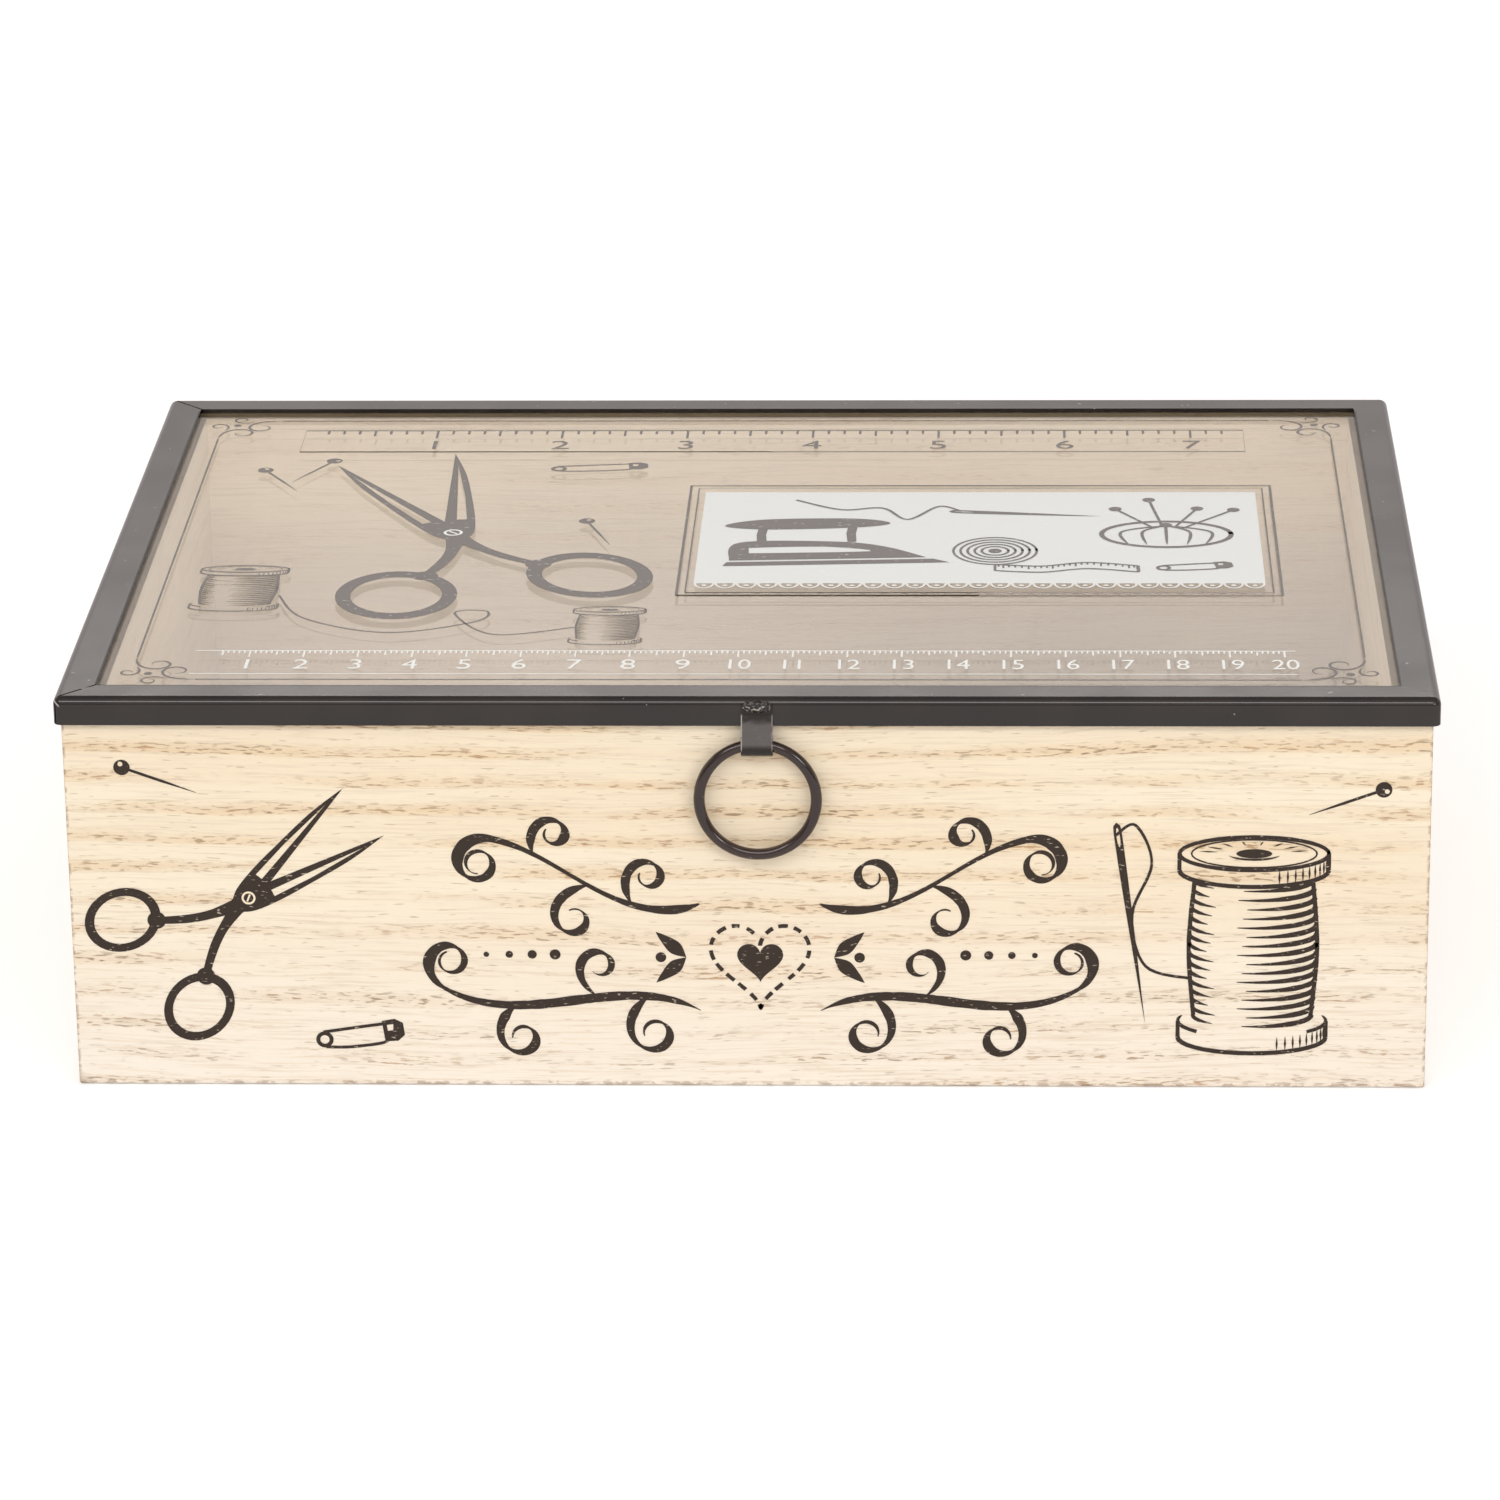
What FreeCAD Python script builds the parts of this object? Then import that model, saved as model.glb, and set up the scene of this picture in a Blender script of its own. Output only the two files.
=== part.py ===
import FreeCAD, Part
import os
import re

import Sketcher

# Wooden sewing box with a hinged glass lid and a ring pull.
# Millimetres. X is the width, Y the depth and Z is up. The front faces -Y.
# The origin is the middle of the base, on the surface that the box stands on.

doc = FreeCAD.newDocument("sewing_box")
sheet = doc.addObject("Spreadsheet::Sheet", "sizes")

SIZES = {
    # lid frame and carcass
    "lid_width": 250.0,
    "lid_depth": 180.0,
    "wall_height": 72.3,
    "wall_thickness": 7.0,
    "lid_overhang": 1.25,
    "corner_rabbet": 3.5,
    "bottom_rabbet": 3.5,
    "bottom_thickness": 3.0,
    "panel_play": 0.15,
    "arris_radius": 0.4,
    # glass and the folded angle that caps it
    "sheet_thickness": 0.9,
    "glass_thickness": 3.0,
    "glass_side_play": 0.7,
    "rim_height": 5.2,
    "flange_width": 7.1,
    "bend_radius": 1.5,
    "frame_corner_radius": 1.6,
    # ring pull on the front rail
    "pull_offset": 2.3,
    "strap_width": 5.7,
    "strap_thickness": 0.5,
    "strap_top_gap": 1.0,
    "strap_lean": 24.0,
    "strap_bend_radius": 1.0,
    "eye_drop": 8.6,
    "eye_radius": 1.45,
    "eye_wall_gap": 0.25,
    "ring_diameter": 23.25,
    "ring_wire": 2.05,
    # hinges on the rear
    "hinge_inset": 50.0,
    "leaf_length": 24.0,
    "leaf_drop": 12.0,
    "leaf_rise": 4.3,
    "leaf_thickness": 0.8,
    "leaf_top_gap": 0.3,
    "lid_knuckle": 8.0,
    "knuckle_gap": 0.1,
    "pin_diameter": 1.5,
    "running_clearance": 0.05,
    "web_clearance": 0.2,
    "stop_angle": 105.0,
    "stop_contact_angle": 20.0,
    "stop_spread": 25.0,
    "stop_gap": 0.02,
    # screws through the lower hinge leaves
    "screw_spacing": 12.0,
    "screw_drop": 7.6,
    "screw_diameter": 1.8,
    "screw_length": 5.6,
    "screw_tip": 1.2,
    "slot_width": 0.5,
    "slot_depth": 0.35,
}
for row, (name, size) in enumerate(SIZES.items(), start=1):
    cell = "A%d" % row
    sheet.set(cell, str(size))
    sheet.setAlias(cell, name)
doc.recompute()

# How far a cutting shape reaches past what it cuts, and what counts as equal.
MARGIN = 1.0
TOLERANCE = 1e-4

X_AXIS = FreeCAD.Vector(1, 0, 0)
Z_AXIS = FreeCAD.Vector(0, 0, 1)


def bound(formula):
    """Write a formula of size names for the expression engine."""
    def look_up(found):
        word = found.group()
        return "sizes." + word if word in SIZES else word
    return re.sub("[a-z_]+", look_up, formula)


def value(formula):
    return float(sheet.evalExpression(bound(formula)))


# Sizes that follow from the driving ones.
CARCASS_HALF_WIDTH = "(lid_width / 2 - lid_overhang)"
CARCASS_HALF_DEPTH = "(lid_depth / 2 - lid_overhang)"
TOP = "(wall_height + glass_thickness + sheet_thickness)"
RIM_LEVEL = "(%s - rim_height)" % TOP
EYE_OUTER = "(eye_radius + strap_thickness)"
EYE_FORWARD = "(%s + eye_wall_gap - lid_overhang)" % EYE_OUTER
EYE_HEIGHT = "(%s - eye_drop)" % TOP
RING_MEAN = "(ring_diameter / 2 - ring_wire / 2)"
RING_SAG = "(%s - sqrt(%s ^ 2 - (strap_width / 2) ^ 2))" % (RING_MEAN, RING_MEAN)
PIN_RADIUS = "(pin_diameter / 2)"
BARREL = "(%s + running_clearance + leaf_thickness)" % PIN_RADIUS
AXIS_Y = "(lid_depth / 2 + web_clearance + %s)" % BARREL
WEB_FACE = "(web_clearance + %s)" % BARREL
WALL_FACE = "(%s + lid_overhang)" % WEB_FACE
LEAF_FACE = "(%s - leaf_thickness)" % WALL_FACE


def bind(thing, path, formula):
    thing.setExpression(path, bound(formula))


def new_body(label):
    return doc.addObject("PartDesign::Body", label)


def place(thing, along_x, along_y, along_z, turn=0.0, axis=Z_AXIS):
    """Turn an object about an axis and bind its base to three formulas."""
    thing.Placement = FreeCAD.Placement(FreeCAD.Vector(), FreeCAD.Rotation(axis, turn))
    bind(thing, ".Placement.Base.x", along_x)
    bind(thing, ".Placement.Base.y", along_y)
    bind(thing, ".Placement.Base.z", along_z)


def new_sketch(body, name, role):
    sketch = body.newObject("Sketcher::SketchObject", name)
    plane = [face for face in body.Origin.OriginFeatures if face.Role == role][0]
    sketch.AttachmentSupport = (plane, [""])
    sketch.MapMode = "FlatFace"
    return sketch


def pin_point(sketch, edge, end, across, up):
    """Hold a vertex at two formulas, measured from the sketch origin."""
    for kind, formula in (("DistanceX", across), ("DistanceY", up)):
        index = sketch.addConstraint(
            Sketcher.Constraint(kind, -1, 1, edge, end, value(formula)))
        bind(sketch, "Constraints[%d]" % index, formula)


def polygon(sketch, corners):
    """Closed outline through corners given as pairs of formulas."""
    points = [FreeCAD.Vector(value(a), value(b), 0) for a, b in corners]
    count = len(points)
    first = sketch.GeometryCount
    for i in range(count):
        sketch.addGeometry(Part.LineSegment(points[i], points[(i + 1) % count]))
    for i in range(count):
        following = first + (i + 1) % count
        sketch.addConstraint(Sketcher.Constraint("Coincident", first + i, 2, following, 1))
        pin_point(sketch, first + i, 1, *corners[i])


def rectangle(sketch, left, low, right, high):
    polygon(sketch, [(left, low), (right, low), (right, high), (left, high)])


def circle(sketch, radius, across="0", up="0"):
    middle = FreeCAD.Vector(value(across), value(up), 0)
    edge = sketch.addGeometry(Part.Circle(middle, Z_AXIS, value(radius)))
    pin_point(sketch, edge, 3, across, up)
    index = sketch.addConstraint(Sketcher.Constraint("Radius", edge, value(radius)))
    bind(sketch, "Constraints[%d]" % index, radius)


def pad(body, sketch, length, centred=False):
    feature = body.newObject("PartDesign::Pad", sketch.Name + "_pad")
    feature.Profile = sketch
    bind(feature, "Length", length)
    if centred:
        feature.SideType = "Symmetric"
    doc.recompute()
    return feature


def pocket(body, sketch, length, centred=False, upward=False):
    """Cut a sketch out of the body, and make sure that it took something away."""
    before = body.Shape.Volume
    feature = body.newObject("PartDesign::Pocket", sketch.Name + "_pocket")
    feature.Profile = sketch
    bind(feature, "Length", length)
    if centred:
        feature.SideType = "Symmetric"
    feature.Reversed = upward
    doc.recompute()
    if body.Shape.Volume >= before:
        raise RuntimeError("%s cuts nothing from %s" % (sketch.Name, body.Label))
    return feature


def fillet(body, radius, chosen):
    """Round the edges that a test picks by their boxes."""
    base = body.Tip
    names = []
    for index, edge in enumerate(base.Shape.Edges, start=1):
        if chosen(edge.BoundBox):
            names.append("Edge%d" % index)
    feature = body.newObject("PartDesign::Fillet", base.Name + "_fillet")
    feature.Base = (base, names)
    bind(feature, "Radius", radius)
    doc.recompute()
    return feature


def near(first, second):
    return abs(first - second) < TOLERANCE


def flat_at(low, high, level):
    return near(low, level) and near(high, level)


# Carcass: four walls and a bottom

def wall(label, half_length, half_span, rabbeted):
    """A wall in its own frame: the outer face at y = 0, the inside towards +Y."""
    body = new_body(label)
    outline = new_sketch(body, label + "_outline", "XY_Plane")
    inner = "(%s - wall_thickness)" % half_length
    tongue = "(wall_thickness - corner_rabbet)"
    if rabbeted:
        polygon(outline, [
            ("- %s" % half_length, "0"),
            (half_length, "0"),
            (half_length, tongue),
            (inner, tongue),
            (inner, "wall_thickness"),
            ("- %s" % inner, "wall_thickness"),
            ("- %s" % inner, tongue),
            ("- %s" % half_length, tongue),
        ])
    else:
        rectangle(outline, "- %s" % half_length, "0", half_length, "wall_thickness")
    pad(body, outline, "wall_height")

    half_bottom = "(%s - wall_thickness + bottom_rabbet)" % half_span
    seat = new_sketch(body, label + "_bottom_seat", "XY_Plane")
    rectangle(seat, "- %s" % half_bottom, "wall_thickness - bottom_rabbet",
              half_bottom, "wall_thickness + %s" % MARGIN)
    pocket(body, seat, "bottom_thickness", upward=True)

    end = value(half_length)

    def outer_arris(box):
        on_outside = flat_at(box.YMin, box.YMax, 0)
        on_base = flat_at(box.ZMin, box.ZMax, 0)
        at_end = near(abs(box.XMin), end) and near(abs(box.XMax), end) and box.XLength < end
        if rabbeted:
            return (on_outside and (on_base or at_end)) or (on_base and at_end)
        return on_outside and on_base

    fillet(body, "arris_radius", outer_arris)
    return body


front_panel = wall("front_panel", CARCASS_HALF_WIDTH, CARCASS_HALF_WIDTH, True)
place(front_panel, "0", "- %s" % CARCASS_HALF_DEPTH, "0")

rear_panel = wall("rear_panel", CARCASS_HALF_WIDTH, CARCASS_HALF_WIDTH, True)
place(rear_panel, "0", CARCASS_HALF_DEPTH, "0", turn=180)

SIDE_HALF_LENGTH = "(%s - wall_thickness + corner_rabbet)" % CARCASS_HALF_DEPTH
left_panel = wall("left_panel", SIDE_HALF_LENGTH, CARCASS_HALF_DEPTH, False)
place(left_panel, "- %s" % CARCASS_HALF_WIDTH, "0", "0", turn=-90)

right_panel = wall("right_panel", SIDE_HALF_LENGTH, CARCASS_HALF_DEPTH, False)
place(right_panel, CARCASS_HALF_WIDTH, "0", "0", turn=90)


def plate(label, half_width, half_depth, thickness, level):
    """A flat rectangular sheet centred on the Z axis."""
    box = doc.addObject("Part::Box", label)
    bind(box, "Length", "2 * %s" % half_width)
    bind(box, "Width", "2 * %s" % half_depth)
    bind(box, "Height", thickness)
    place(box, "- %s" % half_width, "- %s" % half_depth, level)
    return box


BOTTOM_INSET = "(wall_thickness - bottom_rabbet + panel_play)"
bottom_panel = plate(
    "bottom_panel",
    "(%s - %s)" % (CARCASS_HALF_WIDTH, BOTTOM_INSET),
    "(%s - %s)" % (CARCASS_HALF_DEPTH, BOTTOM_INSET),
    "bottom_thickness", "0")


# Lid: four mitred angle rails over a pane of glass, which rests on the walls

def rail(label, length):
    """A folded angle in its own frame: the web at y = 0, the flange on top towards +Y."""
    body = new_body(label)
    section = new_sketch(body, label + "_section", "YZ_Plane")
    upper = "(rim_height - sheet_thickness)"
    polygon(section, [
        ("0", "0"),
        ("sheet_thickness", "0"),
        ("sheet_thickness", upper),
        ("flange_width", upper),
        ("flange_width", "rim_height"),
        ("0", "rim_height"),
    ])
    pad(body, section, length, centred=True)

    mitre = new_sketch(body, label + "_mitre", "XY_Plane")
    half = "(%s / 2)" % length
    far = "(flange_width + %s)" % MARGIN
    outside = "(%s + %s)" % (half, MARGIN)
    start = "(frame_corner_radius * (1 - sqrt(0.5)))"
    for sign in ("", "- "):
        mitre_end(mitre, sign, half, far, outside, start)
    pocket(body, mitre, "rim_height + %s" % MARGIN, upward=True)

    top = value("rim_height")
    flange = value("flange_width")
    web = value("sheet_thickness")
    under = value(upper)

    def outer_bend(box):
        return flat_at(box.ZMin, box.ZMax, top) and box.YMin < TOLERANCE and box.YMax < flange / 2

    def inner_bend(box):
        return flat_at(box.ZMin, box.ZMax, under) and flat_at(box.YMin, box.YMax, web)

    fillet(body, "bend_radius", outer_bend)
    fillet(body, "(bend_radius - sheet_thickness)", inner_bend)
    return body


def mitre_end(sketch, sign, half, far, outside, start):
    """What a mitre cuts off one end of a rail, with the frame's rounded corner."""
    on_mitre = (sign + "(%s - %s)" % (half, start), start)
    on_web = (sign + "(%s - frame_corner_radius)" % half, "0")
    path = [
        on_web,
        (on_web[0], "- %s" % MARGIN),
        (sign + outside, "- %s" % MARGIN),
        (sign + outside, far),
        (sign + "(%s - %s)" % (half, far), far),
        on_mitre,
    ]
    first = sketch.GeometryCount
    points = [FreeCAD.Vector(value(a), value(b), 0) for a, b in path]
    for i in range(len(points) - 1):
        sketch.addGeometry(Part.LineSegment(points[i], points[i + 1]))
    radius = value("frame_corner_radius")
    middle = FreeCAD.Vector(value(on_web[0]), radius, 0)
    arc_middle = (points[0] - middle + points[-1] - middle).normalize() * radius
    arc = sketch.addGeometry(Part.Arc(points[-1], middle + arc_middle, points[0]))
    for i in range(len(points) - 1):
        pin_point(sketch, first + i, 1, *path[i])
        if i:
            sketch.addConstraint(
                Sketcher.Constraint("Coincident", first + i - 1, 2, first + i, 1))
    pin_point(sketch, arc - 1, 2, *path[-1])
    at_web = 1 if near(sketch.getPoint(arc, 1).y, 0) else 2
    sketch.addConstraint(Sketcher.Constraint("Coincident", arc, at_web, first, 1))
    sketch.addConstraint(Sketcher.Constraint("Coincident", arc, 3 - at_web, arc - 1, 2))
    index = sketch.addConstraint(Sketcher.Constraint("Radius", arc, radius))
    bind(sketch, "Constraints[%d]" % index, "frame_corner_radius")


lid_rail_front = rail("lid_rail_front", "lid_width")
place(lid_rail_front, "0", "- lid_depth / 2", RIM_LEVEL)

lid_rail_rear = rail("lid_rail_rear", "lid_width")
place(lid_rail_rear, "0", "lid_depth / 2", RIM_LEVEL, turn=180)

lid_rail_left = rail("lid_rail_left", "lid_depth")
place(lid_rail_left, "- lid_width / 2", "0", RIM_LEVEL, turn=-90)

lid_rail_right = rail("lid_rail_right", "lid_depth")
place(lid_rail_right, "lid_width / 2", "0", RIM_LEVEL, turn=90)

GLASS_INSET = "(sheet_thickness + glass_side_play)"
lid_glass = plate(
    "lid_glass",
    "(lid_width / 2 - %s)" % GLASS_INSET,
    "(lid_depth / 2 - %s)" % GLASS_INSET,
    "glass_thickness", "wall_height")


# Ring pull: a strap soldered to the front rail and rolled round a ring

def strap(label):
    """The strap in the front rail's frame: its web at y = 0, heights from the base."""
    body = new_body(label)
    band = new_sketch(body, label + "_band", "YZ_Plane")
    top = "(%s - strap_top_gap)" % TOP
    lean_y = "cos(strap_lean)"
    lean_z = "sin(strap_lean)"

    def on_roll(radius):
        return ("- %s - %s * %s" % (EYE_FORWARD, radius, lean_y),
                "%s + %s * %s" % (EYE_HEIGHT, radius, lean_z))

    def crease(radius, start):
        rise = "(%s + %s * %s - %s) / tan(strap_lean)" % (EYE_FORWARD, radius, lean_y, start)
        return "%s + %s * %s + %s" % (EYE_HEIGHT, radius, lean_z, rise)

    polygon(band, [
        ("0", top),
        ("- strap_thickness", top),
        ("- strap_thickness", crease(EYE_OUTER, "strap_thickness")),
        on_roll(EYE_OUTER),
        on_roll("eye_radius"),
        ("0", crease("eye_radius", "0")),
    ])
    pad(body, band, "strap_width", centred=True)

    roll = new_sketch(body, label + "_roll", "YZ_Plane")
    circle(roll, EYE_OUTER, "- %s" % EYE_FORWARD, EYE_HEIGHT)
    pad(body, roll, "strap_width", centred=True)

    eye = new_sketch(body, label + "_eye", "YZ_Plane")
    circle(eye, "eye_radius", "- %s" % EYE_FORWARD, EYE_HEIGHT)
    pocket(body, eye, "strap_width + 2 * %s" % MARGIN, centred=True)

    front = -value("strap_thickness")
    bend = value(crease(EYE_OUTER, "strap_thickness"))

    def outer_bend(box):
        return flat_at(box.YMin, box.YMax, front) and flat_at(box.ZMin, box.ZMax, bend)

    fillet(body, "strap_bend_radius", outer_bend)
    return body


pull_strap = strap("pull_strap")
place(pull_strap, "pull_offset", "- lid_depth / 2", "0")

pull_ring = doc.addObject("Part::Torus", "pull_ring")
bind(pull_ring, "Radius1", RING_MEAN)
bind(pull_ring, "Radius2", "ring_wire / 2")
place(pull_ring, "pull_offset", "- lid_depth / 2 - %s" % EYE_FORWARD,
      "%s + %s / 2 - %s" % (EYE_HEIGHT, RING_SAG, RING_MEAN), turn=90, axis=X_AXIS)


# Hinges: each leaf in its own frame, with the pin's axis along X at the origin

def box_leaf(label):
    body = new_body(label)
    flat = new_sketch(body, label + "_flat", "YZ_Plane")
    low = "- (leaf_top_gap + leaf_drop)"
    rectangle(flat, "- %s" % WALL_FACE, low, "- %s" % LEAF_FACE, "- leaf_top_gap")
    pad(body, flat, "leaf_length", centred=True)

    neck = new_sketch(body, label + "_neck", "YZ_Plane")
    rectangle(neck, "- (%s + leaf_thickness / 2)" % LEAF_FACE, "- %s" % BARREL,
              "- %s / 2" % BARREL, "- leaf_top_gap")
    pad(body, neck, "leaf_length", centred=True)

    barrel = new_sketch(body, label + "_barrel", "YZ_Plane")
    circle(barrel, BARREL)
    pad(body, barrel, "leaf_length", centred=True)

    window = new_sketch(body, label + "_window", "YZ_Plane")
    reach = "(%s + %s)" % (BARREL, MARGIN)
    rectangle(window, "- %s" % LEAF_FACE, "- %s" % reach, reach, reach)
    pocket(body, window, "lid_knuckle + 2 * knuckle_gap", centred=True)

    bore = new_sketch(body, label + "_bore", "YZ_Plane")
    circle(bore, PIN_RADIUS)
    pocket(body, bore, "leaf_length + 2 * %s" % MARGIN, centred=True)
    return body


def lid_leaf(label):
    body = new_body(label)
    flat = new_sketch(body, label + "_flat", "YZ_Plane")
    outer = "(%s - leaf_thickness)" % WEB_FACE
    rectangle(flat, "- %s" % WEB_FACE, "0", "- %s" % outer, "leaf_rise")
    pad(body, flat, "leaf_length", centred=True)

    notch = new_sketch(body, label + "_notch", "XZ_Plane")
    end = "(leaf_length / 2 + %s)" % MARGIN
    inner = "(lid_knuckle / 2)"
    rectangle(notch, inner, "- %s" % MARGIN, end, WEB_FACE)
    rectangle(notch, "- %s" % end, "- %s" % MARGIN, "- %s" % inner, WEB_FACE)
    pocket(body, notch, "2 * %s + %s" % (WEB_FACE, MARGIN), centred=True)

    barrel = new_sketch(body, label + "_barrel", "YZ_Plane")
    circle(barrel, BARREL)
    pad(body, barrel, "lid_knuckle", centred=True)

    # The lug meets the lower leaf when the lid is fully open.
    lug = new_sketch(body, label + "_stop", "YZ_Plane")
    tip = "((%s - stop_gap) / cos(stop_contact_angle))" % LEAF_FACE
    root = "(%s - leaf_thickness / 2)" % BARREL
    lead = "(180 + stop_contact_angle + stop_angle)"
    trail = "(%s + stop_spread)" % lead
    polygon(lug, [
        ("%s * cos(%s)" % (radius, angle), "%s * sin(%s)" % (radius, angle))
        for radius, angle in ((root, lead), (tip, lead), (tip, trail), (root, trail))
    ])
    pad(body, lug, "lid_knuckle", centred=True)

    bore = new_sketch(body, label + "_bore", "YZ_Plane")
    circle(bore, "%s + running_clearance" % PIN_RADIUS)
    pocket(body, bore, "lid_knuckle + 2 * %s" % MARGIN, centred=True)
    return body


def hinge_pin(label, middle):
    pin = doc.addObject("Part::Cylinder", label)
    bind(pin, "Radius", PIN_RADIUS)
    bind(pin, "Height", "leaf_length")
    place(pin, "%s - leaf_length / 2" % middle, AXIS_Y, RIM_LEVEL,
          turn=90, axis=FreeCAD.Vector(0, 1, 0))
    return pin


# Screws: slotted countersunk wood screws, two through each lower leaf

WALL_BACK = CARCASS_HALF_DEPTH
SCREW_HEIGHT = "(%s - screw_drop)" % RIM_LEVEL
SCREW_HEAD = "(screw_diameter / 2 + leaf_thickness)"


def turned(name, kind, radii, length, along_x, start):
    """A cylinder or cone that points into the rear wall, along -Y."""
    shape = doc.addObject(kind, name)
    for path, formula in radii:
        bind(shape, path, formula)
    bind(shape, "Height", length)
    place(shape, along_x, start, SCREW_HEIGHT, turn=90, axis=X_AXIS)
    return shape


def screw_blank(name, along_x):
    """Countersunk head, shank and tip as one solid, which also cuts the holes."""
    shank_radius = "screw_diameter / 2"
    shank_length = "screw_length - leaf_thickness - screw_tip"
    head = turned(name + "_head", "Part::Cone",
                  (("Radius1", SCREW_HEAD), ("Radius2", shank_radius)),
                  "leaf_thickness", along_x, "%s + leaf_thickness" % WALL_BACK)
    shank = turned(name + "_shank", "Part::Cylinder", (("Radius", shank_radius),),
                   shank_length, along_x, WALL_BACK)
    tip = turned(name + "_tip", "Part::Cone",
                 (("Radius1", shank_radius), ("Radius2", "0")),
                 "screw_tip", along_x, "%s - (%s)" % (WALL_BACK, shank_length))
    blank = doc.addObject("Part::MultiFuse", name + "_blank")
    blank.Shapes = [head, shank, tip]
    return blank


def slotted(name, blank, along_x):
    """The screw itself: the blank with a slot across its head."""
    slot = doc.addObject("Part::Box", name + "_slot")
    bind(slot, "Length", "2 * %s + %s" % (SCREW_HEAD, MARGIN))
    bind(slot, "Width", "slot_depth + %s" % MARGIN)
    bind(slot, "Height", "slot_width")
    place(slot, "%s - %s - %s / 2" % (along_x, SCREW_HEAD, MARGIN),
          "%s + leaf_thickness - slot_depth" % WALL_BACK,
          "%s - slot_width / 2" % SCREW_HEIGHT)
    screw = doc.addObject("Part::Cut", name)
    screw.Base = blank
    screw.Tool = slot
    return screw


def cut_away(label, whole, tools):
    """Take several shapes out of one sub-part."""
    block = doc.addObject("Part::MultiFuse", label + "_holes")
    block.Shapes = tools
    result = doc.addObject("Part::Cut", label)
    result.Base = whole
    result.Tool = block
    return result


nodes = {
    "front_panel": front_panel,
    "left_panel": left_panel,
    "right_panel": right_panel,
    "bottom_panel": bottom_panel,
    "lid_rail_front": lid_rail_front,
    "lid_rail_rear": lid_rail_rear,
    "lid_rail_left": lid_rail_left,
    "lid_rail_right": lid_rail_right,
    "lid_glass": lid_glass,
    "pull_strap": pull_strap,
    "pull_ring": pull_ring,
}

all_blanks = []
for side, sign in (("left", "-"), ("right", "")):
    middle = "%s (lid_width / 2 - hinge_inset)" % sign
    lower = box_leaf(side + "_lower_leaf")
    place(lower, middle, AXIS_Y, RIM_LEVEL)
    upper = lid_leaf(side + "_hinge_lid_leaf")
    place(upper, middle, AXIS_Y, RIM_LEVEL)

    blanks = []
    screws = []
    for which, half in (("outer", "- screw_spacing / 2"), ("inner", "+ screw_spacing / 2")):
        along_x = "%s %s" % (middle, half)
        name = "%s_%s_screw" % (side, which)
        blanks.append(screw_blank(name, along_x))
        screws.append(slotted(name, blanks[-1], along_x))
    pair = doc.addObject("Part::Compound", side + "_hinge_screws")
    pair.Links = screws

    nodes[side + "_hinge_box_leaf"] = cut_away(side + "_hinge_box_leaf", lower, blanks)
    nodes[side + "_hinge_lid_leaf"] = upper
    nodes[side + "_hinge_pin"] = hinge_pin(side + "_hinge_pin", middle)
    nodes[side + "_hinge_screws"] = pair
    all_blanks += blanks

rear_panel.Label = "rear_panel_uncut"
nodes["rear_panel"] = cut_away("rear_panel", rear_panel, all_blanks)
nodes["rear_panel"].Label = "rear_panel"
doc.recompute()


# Every object is sound before anything is written.
for thing in doc.Objects:
    if "Invalid" in thing.State or "Error" in thing.State:
        raise RuntimeError("%s did not build: %s" % (thing.Label, thing.State))
for name, thing in nodes.items():
    if thing.Label != name:
        raise RuntimeError("%s is labelled %s" % (name, thing.Label))
    if thing.Shape.isNull() or not thing.Shape.isValid():
        raise RuntimeError("%s has no valid shape" % name)

os.makedirs("parts", exist_ok=True)
for name, thing in sorted(nodes.items()):
    thing.Shape.exportStep("parts/%s.step" % name)
    box = thing.Shape.BoundBox
    print("%-22s solids %d volume %9.1f  x %7.2f %7.2f  y %7.2f %7.2f  z %6.2f %6.2f" % (
        name, len(thing.Shape.Solids), thing.Shape.Volume,
        box.XMin, box.XMax, box.YMin, box.YMax, box.ZMin, box.ZMax))
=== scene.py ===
import cmath
import math

import bpy
from mathutils import Matrix, Vector, noise
from mathutils.geometry import tessellate_polygon


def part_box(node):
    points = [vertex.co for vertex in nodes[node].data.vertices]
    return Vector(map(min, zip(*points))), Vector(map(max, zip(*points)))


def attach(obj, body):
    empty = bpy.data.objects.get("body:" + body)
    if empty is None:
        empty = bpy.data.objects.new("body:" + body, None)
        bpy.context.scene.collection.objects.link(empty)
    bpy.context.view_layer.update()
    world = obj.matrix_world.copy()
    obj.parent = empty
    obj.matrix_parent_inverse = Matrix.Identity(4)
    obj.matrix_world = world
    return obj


# Wooden sewing box with a hinged glass lid and a ring pull.
# Metres in the row frame. The front faces -Y, and the box stands on z = 0.

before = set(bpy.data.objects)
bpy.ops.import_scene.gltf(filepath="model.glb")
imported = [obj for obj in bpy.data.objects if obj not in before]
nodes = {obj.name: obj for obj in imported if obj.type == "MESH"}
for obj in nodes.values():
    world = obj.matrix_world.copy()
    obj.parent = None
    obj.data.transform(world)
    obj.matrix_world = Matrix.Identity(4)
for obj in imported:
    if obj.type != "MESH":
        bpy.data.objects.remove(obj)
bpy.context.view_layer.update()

# Camera, as fitted to the box's corners in the photograph
PHOTO_SIDE = 1500
SENSOR = 36.0
FOCAL_PIXELS = 6507.1
CAMERA_PLACE = Vector((0.046109, -1.187327, 0.477008))
CAMERA_YAW = -0.0411
CAMERA_PITCH = 0.3578
CAMERA_ROLL = -0.0132


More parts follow.
